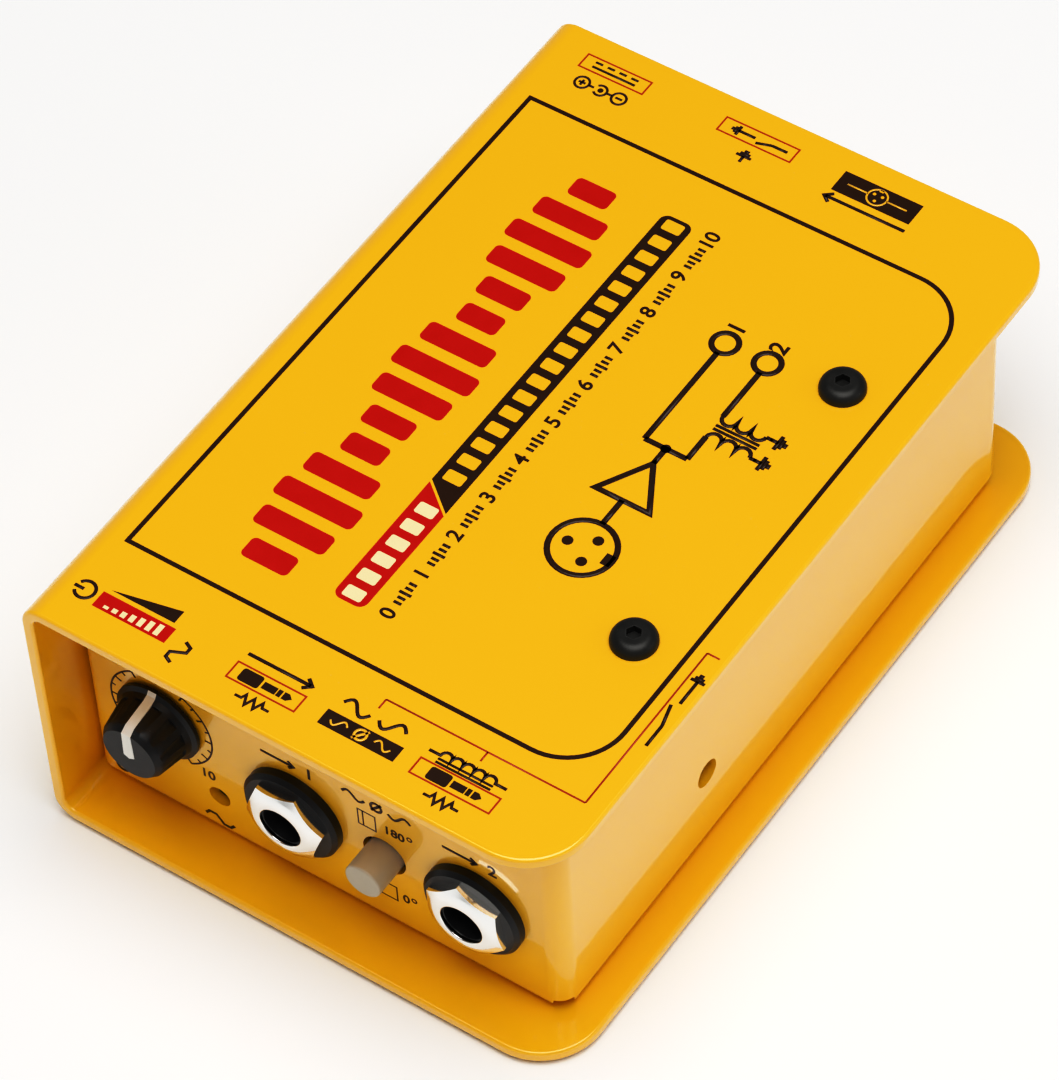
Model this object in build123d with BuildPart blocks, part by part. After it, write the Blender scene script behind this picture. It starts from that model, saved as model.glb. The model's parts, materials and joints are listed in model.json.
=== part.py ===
from build123d import *
import math
import os

# Small steel box for guitar and studio signals, in millimetres.
# +X is right seen from the front panel, +Y runs to the rear, +Z is up.
# The origin is under the middle of the base pad.

# ---------------------------------------------------------------- case
case_length = 127.0
case_width = 84.0
shell_height = 45.5
shell_sheet = 1.9
fold_radius = 3.6
plate_corner = 9.5
painted_edge = 0.5
pad_thickness = 0.8
pad_margin = 2.0

# ---------------------------------------------------------------- chassis
chassis_sheet = 1.5
end_recess = 8.1
side_recess = 4.5
chassis_gap = 0.3
chassis_corner = 3.0
chassis_fold = 2.5
flange_depth = 14.0
relief_radius = 1.5
mitre_slit = 0.5
mitre_slit_stretch = 1.5
cut_overrun = 5.0

# ---------------------------------------------------------------- shell screws
shell_screw_inset = 7.7
shell_screw_spacing = 50.8
shell_screw_radius = 1.75
shell_screw_clearance = 0.15
button_head_radius = 3.3
button_head_height = 1.85
button_head_dome = 1.5
hex_socket_flats = 2.0
hex_socket_depth = 1.2
flat_head_depth = 1.35
clinch_nut_radius = 3.95
clinch_nut_height = 2.3
screw_tail = 0.6
countersink_taper = 45
pad_hole_margin = 0.8

# ---------------------------------------------------------------- circuit board
board_thickness = 1.6
board_edge_gap = 1.0
standoff_height = 3.6
standoff_radius = 2.5
board_screw_radius = 1.25
board_screw_head_radius = 2.5
board_screw_head_height = 1.6
board_screw_inset = 9.9
board_screw_side_inset = 6.0
side_standoff_spacing = 20.0
side_standoff_shift = 1.0
lead_pitch = 2.54

# ---------------------------------------------------------------- heights of the controls over the board
pot_rise = 13.8
jack_rise = 8.9
switch_rise = 9.2
side_switch_rise = 8.5
led_rise = 2.1
dc_rise = 6.5

# ---------------------------------------------------------------- how spare panel width is shared out
front_shares = (0.247, 0.318, 0.088, 0.106, 0.241)
rear_shares = (0.2175, 0.4708, 0.0617, 0.25)

# ---------------------------------------------------------------- level control
pot_can_radius = 8.4
pot_can_wall = 0.5
pot_can_depth = 6.0
pot_plate_thickness = 1.0
pot_track_thickness = 1.2
pot_track_clearance = 0.2
pot_tongue_width = 11.0
pot_tongue_reach = 10.5
pot_terminal_pitch = 4.2
pot_terminal_width = 1.0
pot_terminal_sheet = 0.6
pot_bushing_wall = 0.5
pot_bushing_reach = 2.5
pot_shaft_radius = 3.0
pot_shaft_reach = 6.0
pot_shaft_flat = 1.5
pot_shaft_flat_gap = 0.2
pot_shaft_fit = 0.05
pot_rotor_gap = 0.4
pot_rotor_margin = 0.5
pot_rotor_thickness = 1.6
pot_washer_wall = 1.1
pot_washer_thickness = 0.4
pot_nut_wall = 0.6
pot_nut_thickness = 1.9
pot_hole_clearance = 0.1
small_chamfer = 0.25

knob_gap = 0.4
knob_height = 7.3
knob_recess_clearance = 0.3
knob_wall = 0.67
knob_skirt_margin = 1.0
knob_skirt_edge = 0.6
knob_skirt_height = 1.4
knob_flare = 0.35
knob_flare_rise = 0.8
knob_taper = 0.7
knob_rim_height = 6.3
knob_crown = 0.7
knob_flutes = 12
flute_radius = 1.5
flute_depth = 0.42
flute_taper = 5
pointer_skirt_width = 1.35
pointer_face_width = 1.75
pointer_overrun = 0.4
pointer_tip = 0.45
pointer_depth = 0.4
pointer_proud = 0.08

# ---------------------------------------------------------------- output jacks
plug_bore_radius = 3.2
jack_width = 16.0
jack_depth = 27.5
jack_top_rise = 8.2
jack_wall = 1.5
jack_front_wall = 3.0
jack_rear_wall = 0.8
jack_bushing_radius = 4.75
jack_hole_clearance = 0.15
bezel_radius = 7.7
bezel_thickness = 1.8
bezel_chamfer = 0.6
jack_nut_wall = 0.85
jack_nut_front = 3.75
jack_nut_lip = 0.7
jack_nut_lip_round = 0.2
jack_nut_bevel_drop = 1.1
jack_nut_bevel_run = 1.6
jack_nut_crown_drop = 0.15
jack_nut_crown_run = 0.6
jack_nut_turns = (11, 39)
nut_lip_clearance = 0.1
contact_strip = 0.4
contact_width = 3.0
contact_clearance = 0.3
tip_spring_start = 9.0
tip_spring_bends = (7.0, 5.0, 3.0)
tip_spring_rise = 1.8
sleeve_spring_bends = (1.0, 3.0, 6.0)
sleeve_spring_rise = 1.6
side_spring_gap = 1.2
side_spring_length = 5.0

# ---------------------------------------------------------------- push switches
switch_width = 10.0
switch_length = 17.0
switch_top_rise = 5.0
switch_standback = 10.5
switch_wall = 1.2
moulded_chamfer = 0.4
plunger_side = 3.2
plunger_clearance = 0.3
cap_radius = 2.85
cap_proud = 5.2
cap_length = 11.2
cap_edge = 0.35
cap_hole_clearance = 0.6
press_travel = 3.0
side_switch_gap = 0.6
side_switch_length = 15.0
side_switch_standback = 4.5
side_tip_radius = 1.7
side_tip_recess = 1.8
side_tip_overlap = 0.2
side_hole_radius = 2.2
side_press_travel = 2.0

# ---------------------------------------------------------------- lamps
led_radius = 1.5
led_flange_radius = 1.9
led_flange_thickness = 1.0
led_length = 5.0
led_hole_radius = 1.75
led_recess = 1.8
led_offset = 8.5
led_lead = 0.5
led_lead_reach = 1.5
led_dome_land = 0.05

# ---------------------------------------------------------------- power inlet
dc_body_width = 9.0
dc_body_top_rise = 4.6
dc_body_depth = 13.5
dc_snout_radius = 3.9
dc_snout_proud = 0.4
dc_bore_radius = 3.0
dc_bore_depth = 10.0
dc_pin_radius = 1.0
dc_pin_recess = 0.8
dc_pin_round = 0.4
dc_body_chamfer = 0.6
dc_terminal_width = 1.6
dc_terminal_sheet = 0.5
dc_hole_clearance = 0.15

# ---------------------------------------------------------------- balanced input
xlr_flange_width = 26.0
xlr_flange_height = 31.0
xlr_flange_thickness = 2.0
xlr_flange_corner = 2.5
xlr_tube_radius = 12.2
xlr_tube_depth = 19.5
xlr_mouth_radius = 9.8
xlr_insert_radius = 7.8
xlr_insert_recess = 1.0
xlr_mouth_depth = 12.5
xlr_key_width = 2.4
xlr_key_depth = 1.6
xlr_contact_count = 3
xlr_contact_turn = 30
xlr_contact_circle = 4.9
xlr_contact_radius = 1.7
xlr_contact_bore = 1.25
xlr_contact_recess = 0.8
xlr_contact_length = 12.0
xlr_tail_proud = 3.5
xlr_screw_x = 9.5
xlr_screw_z = 12.0
xlr_screw_radius = 1.45
xlr_screw_head_radius = 2.8
xlr_screw_tail = 2.0
xlr_screw_slot_length = 2.6
xlr_screw_slot_width = 0.6
xlr_screw_slot_depth = 0.9
xlr_hole_clearance = 0.2
latch_width = 6.0
latch_strip = 1.0
latch_length = 13.0
latch_clearance = 0.25
latch_travel = 1.5
latch_tab_width = 8.0
latch_tab_height = 4.6
latch_tab_thickness = 1.2
latch_tab_corner = 0.8
latch_tab_gap = 1.9
latch_hook = 0.8
latch_hook_inset = 3.0
latch_hook_length = 1.6

# ---------------------------------------------------------------- transformer
core_width = 26.0
core_height = 22.0
core_stack = 12.0
core_leg = 7.0
transformer_inset = 5.0
bobbin_wall = 0.8
bobbin_gap = 0.1
bobbin_window_gap = 0.3
winding_set_in = 0.5
winding_overhang = 5.5
winding_corner = 2.0

# ---------------------------------------------------------------- small components on the board
can_radius = 3.15
can_height = 11.0
can_pitch = 8.0
can_row_spacing = 33.6
can_rim_round = 0.6
small_part_gap = 2.0
film_size = (7.2, 3.0, 6.5)
film_pitch = 4.6
film_count = 4
film_corner = 0.4
chip_size = (9.6, 6.4, 3.3)
chip_stand = 0.6
chip_pitch = 10.75
chip_pin_spread = 6.8
chip_pin_width = 0.6
resistor_radius = 1.1
resistor_length = 6.2
resistor_pitch = 3.2
resistor_rise = 1.6
resistor_wire = 0.3
resistor_span = 9.6
resistor_count = 5
resistor_row_start = 7.0
resistor_row_gap = 7.0
regulator_size = (10.0, 4.4, 9.0)
regulator_tab = 1.3
regulator_tab_rise = 6.2
regulator_leg_rise = 4.0
regulator_leg_width = 0.9
regulator_leg_sheet = 0.6
regulator_gap = 6.0

# ---------------------------------------------------------------- slack in picking edges out
place_slack = 0.01
level_slack = 0.1

# ---------------------------------------------------------------- levels and faces from those sizes
underside_z = pad_thickness
shell_top_z = pad_thickness + shell_height
bay_low_z = underside_z + shell_sheet
bay_high_z = shell_top_z - shell_sheet
flange_top_z = bay_low_z + chassis_sheet
board_low_z = flange_top_z + standoff_height
board_z = board_low_z + board_thickness

wall_inner_x = -case_width / 2 + shell_sheet
chassis_left_x = wall_inner_x + chassis_gap
side_x = case_width / 2 - side_recess
side_inner_x = side_x - chassis_sheet
rear_y = case_length / 2 - end_recess
front_y = -rear_y
rear_inner_y = rear_y - chassis_sheet

pot_z = board_z + pot_rise
jack_z = board_z + jack_rise
switch_z = board_z + switch_rise
side_switch_z = board_z + side_switch_rise
led_z = board_z + led_rise
dc_z = board_z + dc_rise
xlr_z = (bay_low_z + bay_high_z) / 2


def hexagon_corner(flats):
    """Corner radius of a hexagon from the distance across its flats."""
    return flats / 2 / math.cos(math.pi / 6)


pot_bushing_radius = pot_shaft_radius + pot_bushing_wall
pot_washer_radius = pot_bushing_radius + pot_washer_wall
pot_nut_flats = 2 * (pot_bushing_radius + pot_nut_wall)
knob_recess_radius = hexagon_corner(pot_nut_flats) + knob_recess_clearance
knob_waist_radius = knob_recess_radius + knob_wall
knob_skirt_radius = knob_waist_radius + knob_skirt_margin
knob_rim_radius = knob_waist_radius - knob_taper
knob_face_radius = knob_rim_radius - knob_crown
jack_nut_flats = 2 * (jack_bushing_radius + jack_nut_wall)


def row_centres(widths, shares, start, end):
    """Centres of parts in a row, with the width that they leave free shared out between them."""
    spare = end - start - sum(widths)
    centres = []
    edge = start
    for width, share in zip(widths, shares):
        edge += spare * share
        centres.append(edge + width / 2)
        edge += width
    return centres


knob_x, out_a_x, polarity_x, out_b_x = row_centres(
    (2 * pot_can_radius, jack_width, switch_width, jack_width), front_shares, chassis_left_x, side_inner_x
)
dc_x, rear_lift_x, xlr_x = row_centres(
    (dc_body_width, switch_width, xlr_flange_width), rear_shares, chassis_left_x, side_inner_x
)
clip_led_x = knob_x + led_offset
power_led_x = knob_x - led_offset
side_lift_y = -rear_inner_y + jack_depth + side_switch_gap + switch_width / 2

shell_screw_x = side_x - shell_screw_inset
shell_screw_spots = [(shell_screw_x, -shell_screw_spacing / 2), (shell_screw_x, shell_screw_spacing / 2)]
between_inlet_and_lift_x = (dc_x + dc_body_width / 2 + rear_lift_x - switch_width / 2) / 2
xlr_screw_spots = [(-xlr_screw_x, -xlr_screw_z), (xlr_screw_x, xlr_screw_z)]
board_screw_spots = [
    (chassis_left_x + board_screw_side_inset, -rear_inner_y + board_screw_inset),
    (between_inlet_and_lift_x, rear_inner_y - board_screw_inset),
    (shell_screw_x, side_standoff_shift - side_standoff_spacing / 2),
    (shell_screw_x, side_standoff_shift + side_standoff_spacing / 2),
]


def front_plane(x, z):
    """Plane on the front panel's outer face, looking out of the panel, with its y axis up."""
    return Plane(origin=(x, front_y, z), x_dir=(1, 0, 0), z_dir=(0, -1, 0))


def rear_plane(x, z):
    """Plane on the rear panel's outer face, looking out of the panel, with its y axis up."""
    return Plane(origin=(x, rear_y, z), x_dir=(-1, 0, 0), z_dir=(0, 1, 0))


def side_plane(y, z):
    """Plane on the right side's outer face, looking out of it, with its y axis up."""
    return Plane(origin=(side_x, y, z), x_dir=(0, 1, 0), z_dir=(1, 0, 0))


def profile_plane(face):
    """Plane through a face's own axis: x is the radius, y the distance out of the face."""
    return Plane(origin=face.origin, x_dir=face.x_dir, z_dir=-face.y_dir)


def face_axis(face):
    return Axis(face.origin, face.z_dir)


def save(piece, name):
    piece.part.label = name
    export_step(piece.part, f"parts/{name}.step")


os.makedirs("parts", exist_ok=True)


# ================================================================ outer shell in one bent sheet
with BuildPart() as outer_shell:
    with BuildSketch(Plane.XZ.offset(-case_length / 2)) as shell_outline:
        with Locations((0, underside_z + shell_height / 2)):
            Rectangle(case_width, shell_height)
        fillet(shell_outline.vertices().group_by(Axis.X)[0], fold_radius)
    extrude(amount=case_length)
    with BuildSketch(Plane.XZ.offset(-case_length / 2)) as shell_bay:
        with Locations((wall_inner_x + case_width / 2, underside_z + shell_height / 2)):
            Rectangle(case_width, bay_high_z - bay_low_z)
        fillet(shell_bay.vertices().group_by(Axis.X)[0], fold_radius - shell_sheet)
    extrude(amount=case_length, mode=Mode.SUBTRACT)
    fillet(outer_shell.edges().filter_by(Axis.Z).group_by(Axis.X)[-1], plate_corner)

    right_edges = outer_shell.edges().filter_by(lambda edge: edge.center().X > case_width / 2 - plate_corner)
    end_y = case_length / 2 - place_slack
    end_edges = outer_shell.edges().filter_by(lambda edge: abs(edge.center().Y) > end_y)
    outline_edges = ShapeList([e for e in right_edges if abs(e.tangent_at(0.5).Z) < level_slack]) + end_edges
    fillet(ShapeList(set(outline_edges)), painted_edge)

    with BuildSketch(Plane.XY.offset(bay_high_z)):
        with Locations(*shell_screw_spots):
            Circle(shell_screw_radius + shell_screw_clearance)
    extrude(amount=shell_sheet, mode=Mode.SUBTRACT)
    with BuildSketch(Plane.XY.offset(underside_z)):
        with Locations(*shell_screw_spots):
            Circle(shell_screw_radius + flat_head_depth)
    extrude(amount=flat_head_depth, taper=countersink_taper, mode=Mode.SUBTRACT)
    with BuildSketch(Plane.XY.offset(underside_z)):
        with Locations(*shell_screw_spots):
            Circle(shell_screw_radius)
    extrude(amount=shell_sheet, mode=Mode.SUBTRACT)
save(outer_shell, "outer_shell")


# ================================================================ base pad
with BuildPart() as base_pad:
    pad_left_x = -case_width / 2 + fold_radius + pad_margin
    pad_right_x = case_width / 2 - pad_margin
    with BuildSketch() as pad_outline:
        with Locations(((pad_left_x + pad_right_x) / 2, 0)):
            Rectangle(pad_right_x - pad_left_x, case_length - 2 * pad_margin)
        fillet(pad_outline.vertices().group_by(Axis.X)[-1], plate_corner - pad_margin)
        fillet(pad_outline.vertices().group_by(Axis.X)[0], pad_margin)
        with Locations(*shell_screw_spots):
            Circle(shell_screw_radius + flat_head_depth + pad_hole_margin, mode=Mode.SUBTRACT)
    extrude(amount=pad_thickness)
save(base_pad, "base_pad")


# ================================================================ inner chassis with the three panels
def bent_block(left_x, right_x, half_y, low_z, high_z, corner, fold):
    """Solid with the rounded outside of a bent sheet wrap, square at its left end."""
    with BuildPart() as block:
        with BuildSketch(Plane.XY.offset(low_z)):
            with Locations(((left_x + right_x) / 2, 0)):
                Rectangle(right_x - left_x, 2 * half_y)
        extrude(amount=high_z - low_z)
        fillet(block.edges().filter_by(Axis.Z).group_by(Axis.X)[-1], corner)
        level_edges = block.faces().filter_by(Axis.Z).edges()
        fillet(level_edges.filter_by(lambda edge: edge.center().X > left_x + place_slack), fold)
        fillet(block.edges().filter_by(Axis.Y).group_by(Axis.X)[0], fold_radius - shell_sheet)
    return block.part


def flange_corner_cuts(top, sign_y):
    """Relief hole at a bend corner and the mitre slit that parts the two flanges there."""
    level = bay_high_z - chassis_fold if top else bay_low_z
    corner_y = sign_y * (rear_y - relief_radius)
    with BuildPart() as cuts:
        with BuildSketch(Plane.XY.offset(level)):
            with Locations((side_x - relief_radius, corner_y)):
                Circle(relief_radius)
            slit_middle = flange_depth / 2 + relief_radius
            slit_spot = (side_x - slit_middle, sign_y * (rear_y - slit_middle), 0)
            with Locations(Location(slit_spot, (0, 0, 45 * sign_y))):
                Rectangle(mitre_slit_stretch * flange_depth, mitre_slit)
        extrude(amount=chassis_fold)
    return cuts.part


chassis_wrap = bent_block(chassis_left_x, side_x, rear_y, bay_low_z, bay_high_z, chassis_corner, chassis_fold)
chassis_hollow = bent_block(
    chassis_left_x - cut_overrun,
    side_inner_x,
    rear_inner_y,
    bay_low_z + chassis_sheet,
    bay_high_z - chassis_sheet,
    chassis_corner - chassis_sheet,
    chassis_fold - chassis_sheet,
)
corner_cuts = [flange_corner_cuts(top, sign_y) for top in (False, True) for sign_y in (-1, 1)]

with BuildPart() as inner_chassis:
    add(chassis_wrap)
    add(chassis_hollow, mode=Mode.SUBTRACT)
    with BuildSketch(Plane.XY.offset(bay_low_z)):
        opening_left_x = chassis_left_x - cut_overrun
        opening_right_x = side_x - flange_depth
        with Locations(((opening_left_x + opening_right_x) / 2, 0)):
            Rectangle(opening_right_x - opening_left_x, 2 * (rear_y - flange_depth))
    extrude(amount=bay_high_z - bay_low_z, mode=Mode.SUBTRACT)
    for corner_cut in corner_cuts:
        add(corner_cut, mode=Mode.SUBTRACT)

    with BuildSketch(Plane.XY.offset(bay_low_z)):
        with Locations(*shell_screw_spots):
            Circle(shell_screw_radius)
    extrude(amount=bay_high_z - bay_low_z, mode=Mode.SUBTRACT)
    with BuildSketch(Plane.XY.offset(bay_low_z)):
        with Locations(*board_screw_spots):
            Circle(board_screw_radius)
    extrude(amount=chassis_sheet, mode=Mode.SUBTRACT)

    with BuildSketch(front_plane(0, 0)):
        with Locations((knob_x, pot_z)):
            Circle(pot_bushing_radius + pot_hole_clearance)
        with Locations((power_led_x, led_z), (clip_led_x, led_z)):
            Circle(led_hole_radius)
        with Locations((out_a_x, jack_z), (out_b_x, jack_z)):
            Circle(jack_bushing_radius + jack_hole_clearance)
        with Locations((polarity_x, switch_z)):
            Circle(cap_radius + cap_hole_clearance)
    extrude(amount=-chassis_sheet, mode=Mode.SUBTRACT)
    with BuildSketch(side_plane(0, 0)):
        with Locations((side_lift_y, side_switch_z)):
            Circle(side_hole_radius)
    extrude(amount=-chassis_sheet, mode=Mode.SUBTRACT)
    with BuildSketch(rear_plane(0, 0)):
        with Locations((-dc_x, dc_z)):
            Circle(dc_snout_radius + dc_hole_clearance)
        with Locations((-rear_lift_x, switch_z)):
            Circle(cap_radius + cap_hole_clearance)
        with Locations((-xlr_x, xlr_z)):
            Circle(xlr_tube_radius + xlr_hole_clearance)
        with Locations((-xlr_x, xlr_z)):
            with Locations(*xlr_screw_spots):
                Circle(xlr_screw_radius)
    extrude(amount=-chassis_sheet, mode=Mode.SUBTRACT)
save(inner_chassis, "inner_chassis")


# ================================================================ shell screws and the nuts that they enter
with BuildPart() as top_screws:
    with BuildSketch(Plane.XY.offset(shell_top_z)):
        with Locations(*shell_screw_spots):
            Circle(button_head_radius)
    extrude(amount=button_head_height)
    fillet(top_screws.edges().group_by(Axis.Z)[-1], button_head_dome)
    with BuildSketch(Plane.XY.offset(shell_top_z + button_head_height - hex_socket_depth)):
        with Locations(*shell_screw_spots):
            RegularPolygon(hex_socket_flats / 2, 6, major_radius=False)
    extrude(amount=hex_socket_depth, mode=Mode.SUBTRACT)
    with BuildSketch(Plane.XY.offset(shell_top_z)):
        with Locations(*shell_screw_spots):
            Circle(shell_screw_radius)
    extrude(amount=-(shell_sheet + chassis_sheet + clinch_nut_height + screw_tail))
save(top_screws, "top_screws")

with BuildPart() as bottom_screws:
    with BuildSketch(Plane.XY.offset(underside_z)):
        with Locations(*shell_screw_spots):
            Circle(shell_screw_radius + flat_head_depth)
    extrude(amount=flat_head_depth, taper=countersink_taper)
    with BuildSketch(Plane.XY.offset(underside_z)):
        with Locations(*shell_screw_spots):
            Circle(shell_screw_radius)
    extrude(amount=shell_sheet + chassis_sheet + clinch_nut_height + screw_tail)
    with BuildSketch(Plane.XY.offset(underside_z)):
        with Locations(*shell_screw_spots):
            RegularPolygon(hex_socket_flats / 2, 6, major_radius=False)
    extrude(amount=hex_socket_depth, mode=Mode.SUBTRACT)
save(bottom_screws, "bottom_screws")

with BuildPart() as clinch_nuts:
    with BuildSketch(
        Plane.XY.offset(flange_top_z), Plane.XY.offset(bay_high_z - chassis_sheet - clinch_nut_height)
    ):
        with Locations(*shell_screw_spots):
            Circle(clinch_nut_radius)
            Circle(shell_screw_radius, mode=Mode.SUBTRACT)
    extrude(amount=clinch_nut_height)
save(clinch_nuts, "clinch_nuts")


# ================================================================ circuit board and its fixings
with BuildPart() as main_board:
    board_left_x = chassis_left_x + board_edge_gap
    board_right_x = side_inner_x - board_edge_gap
    board_half_y = rear_inner_y - board_edge_gap
    notch_front_y = rear_y - xlr_tube_depth - board_edge_gap
    with BuildSketch(Plane.XY.offset(board_low_z)) as board_outline:
        with Locations(((board_left_x + board_right_x) / 2, 0)):
            Rectangle(board_right_x - board_left_x, 2 * board_half_y)
        fillet(board_outline.vertices(), board_edge_gap)
        with Locations((xlr_x, (notch_front_y + rear_y) / 2)):
            Rectangle(2 * (xlr_tube_radius + board_edge_gap), rear_y - notch_front_y, mode=Mode.SUBTRACT)
        with Locations(*board_screw_spots):
            Circle(board_screw_radius, mode=Mode.SUBTRACT)
    extrude(amount=board_thickness)
save(main_board, "main_board")

with BuildPart() as board_standoffs:
    with BuildSketch(Plane.XY.offset(flange_top_z)):
        with Locations(*board_screw_spots):
            RegularPolygon(standoff_radius, 6)
            Circle(board_screw_radius, mode=Mode.SUBTRACT)
    extrude(amount=standoff_height)
save(board_standoffs, "board_standoffs")

with BuildPart() as board_screws:
    with BuildSketch(Plane.XY.offset(board_z)):
        with Locations(*board_screw_spots):
            Circle(board_screw_head_radius)
    extrude(amount=board_screw_head_height)
    fillet(board_screws.edges().group_by(Axis.Z)[-1], board_screw_head_height / 2)
    with BuildSketch(Plane.XY.offset(board_z + board_screw_head_height)):
        with Locations(*board_screw_spots):
            RegularPolygon(hex_socket_flats / 2, 6, major_radius=False)
    extrude(amount=-board_screw_head_height / 2, mode=Mode.SUBTRACT)
    with BuildSketch(Plane.XY.offset(board_z)):
        with Locations(*board_screw_spots):
            Circle(board_screw_radius)
    extrude(amount=-(board_thickness + standoff_height + chassis_sheet))
save(board_screws, "board_screws")


# ================================================================ level control
pot_face = front_plane(knob_x, pot_z)
pot_plate_back = -chassis_sheet - pot_plate_thickness
pot_track_back = pot_plate_back - pot_track_thickness
pot_can_back = pot_track_back - pot_can_depth

with BuildPart() as pot_bushing:
    with BuildSketch(pot_face.offset(-chassis_sheet)):
        Circle(pot_can_radius)
    extrude(amount=-pot_plate_thickness)
    with BuildSketch(pot_face.offset(-chassis_sheet)):
        Circle(pot_bushing_radius)
    extrude(amount=chassis_sheet + pot_bushing_reach)
    chamfer(pot_bushing.faces().sort_by(Axis.Y)[0].edges(), small_chamfer)
    with BuildSketch(pot_face.offset(pot_bushing_reach)):
        Circle(pot_shaft_radius + pot_shaft_fit)
    extrude(amount=pot_plate_back - pot_bushing_reach, mode=Mode.SUBTRACT)
save(pot_bushing, "pot_bushing")

with BuildPart() as pot_track:
    with BuildSketch(pot_face.offset(pot_plate_back)):
        Circle(pot_can_radius)
        with Locations((0, -pot_tongue_reach / 2)):
            Rectangle(pot_tongue_width, pot_tongue_reach)
        Circle(pot_shaft_radius + pot_track_clearance, mode=Mode.SUBTRACT)
    extrude(amount=-pot_track_thickness)
save(pot_track, "pot_track")

with BuildPart() as pot_can:
    with BuildSketch(pot_face.offset(pot_track_back)):
        Circle(pot_can_radius)
    extrude(amount=-pot_can_depth)
    fillet(pot_can.faces().sort_by(Axis.Y)[-1].edges(), pot_can_wall)
    with BuildSketch(pot_face.offset(pot_track_back)):
        Circle(pot_can_radius - pot_can_wall)
    extrude(amount=-(pot_can_depth - pot_can_wall), mode=Mode.SUBTRACT)
save(pot_can, "pot_can")

with BuildPart() as pot_terminals:
    tongue_low_z = pot_z - pot_tongue_reach
    with BuildSketch(Plane.XY.offset(board_z)):
        terminal_y = front_y + chassis_sheet + pot_plate_thickness + pot_track_thickness / 2
        with Locations((knob_x, terminal_y)):
            with GridLocations(pot_terminal_pitch, 0, 3, 1):
                Rectangle(pot_terminal_width, pot_terminal_sheet)
    extrude(amount=tongue_low_z - board_z)
save(pot_terminals, "pot_terminals")

with BuildPart() as pot_shaft:
    with BuildSketch(pot_face.offset(pot_can_back + 2 * pot_can_wall)):
        Circle(pot_shaft_radius)
    extrude(amount=pot_shaft_reach - pot_can_back - 2 * pot_can_wall)
    with BuildSketch(pot_face.offset(pot_bushing_reach + pot_shaft_flat_gap)):
        with Locations((0, -pot_shaft_flat - pot_shaft_radius / 2)):
            Rectangle(2 * pot_shaft_radius, pot_shaft_radius)
    extrude(amount=pot_shaft_reach - pot_bushing_reach - pot_shaft_flat_gap, mode=Mode.SUBTRACT)
save(pot_shaft, "pot_shaft")

with BuildPart() as pot_rotor:
    with BuildSketch(pot_face.offset(pot_track_back - pot_rotor_gap)):
        Circle(pot_can_radius - pot_can_wall - pot_rotor_margin)
        Circle(pot_shaft_radius, mode=Mode.SUBTRACT)
    extrude(amount=-pot_rotor_thickness)
save(pot_rotor, "pot_rotor")

with BuildPart() as pot_washer:
    with BuildSketch(pot_face):
        Circle(pot_washer_radius)
        Circle(pot_bushing_radius, mode=Mode.SUBTRACT)
    extrude(amount=pot_washer_thickness)
save(pot_washer, "pot_washer")

with BuildPart() as pot_nut:
    with BuildSketch(pot_face.offset(pot_washer_thickness)):
        RegularPolygon(pot_nut_flats / 2, 6, major_radius=False)
        Circle(pot_bushing_radius, mode=Mode.SUBTRACT)
    extrude(amount=pot_nut_thickness)
save(pot_nut, "pot_nut")


# ================================================================ level knob and its pointer
def knob_blank(grow):
    """The knob's outside without its flutes, larger all round by grow."""
    with BuildPart() as blank:
        with BuildSketch(profile_plane(pot_face)):
            with BuildLine():
                Polyline(
                    (0, knob_gap),
                    (knob_skirt_radius + grow, knob_gap),
                    (knob_skirt_radius + grow, knob_gap + knob_skirt_edge),
                    (knob_waist_radius + knob_flare + grow, knob_skirt_height),
                    (knob_waist_radius + grow, knob_skirt_height + knob_flare_rise),
                    (knob_rim_radius + grow, knob_rim_height),
                    (knob_face_radius + grow, knob_height + grow),
                    (0, knob_height + grow),
                    close=True,
                )
            make_face()
        revolve(axis=face_axis(pot_face))
    return blank.part


with BuildPart() as pointer_slab:
    with BuildSketch(pot_face.offset(knob_gap + knob_skirt_edge)):
        with BuildLine():
            Polyline(
                (-pointer_skirt_width / 2, knob_skirt_radius),
                (-pointer_face_width / 2, -pointer_overrun),
                (0, -pointer_overrun - pointer_tip),
                (pointer_face_width / 2, -pointer_overrun),
                (pointer_skirt_width / 2, knob_skirt_radius),
                close=True,
            )
        make_face()
    extrude(amount=knob_height)

knob_outside = knob_blank(0)
pointer_outside = knob_blank(pointer_proud)
pointer_inside = knob_blank(-pointer_depth)

with BuildPart() as knob_pointer:
    add(pointer_outside)
    add(pointer_inside, mode=Mode.SUBTRACT)
    add(pointer_slab.part, mode=Mode.INTERSECT)

with BuildPart() as level_knob:
    add(knob_outside)
    with BuildSketch(pot_face.offset(knob_skirt_height + knob_flare_rise)):
        flute_circle = knob_waist_radius + flute_radius - flute_depth
        with PolarLocations(flute_circle, knob_flutes, start_angle=180 / knob_flutes):
            Circle(flute_radius)
    extrude(amount=knob_height, taper=-flute_taper, mode=Mode.SUBTRACT)
    add(knob_pointer.part, mode=Mode.SUBTRACT)
    with BuildSketch(pot_face.offset(knob_gap)):
        Circle(knob_recess_radius)
    extrude(amount=pot_bushing_reach + knob_recess_clearance - knob_gap, mode=Mode.SUBTRACT)
    with BuildSketch(pot_face.offset(knob_gap)):
        Circle(pot_shaft_radius)
        with Locations((0, -pot_shaft_flat - pot_shaft_radius / 2)):
            Rectangle(2 * pot_shaft_radius, pot_shaft_radius, mode=Mode.SUBTRACT)
    extrude(amount=pot_shaft_reach - knob_gap, mode=Mode.SUBTRACT)
save(level_knob, "level_knob")
save(knob_pointer, "knob_pointer")


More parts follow.
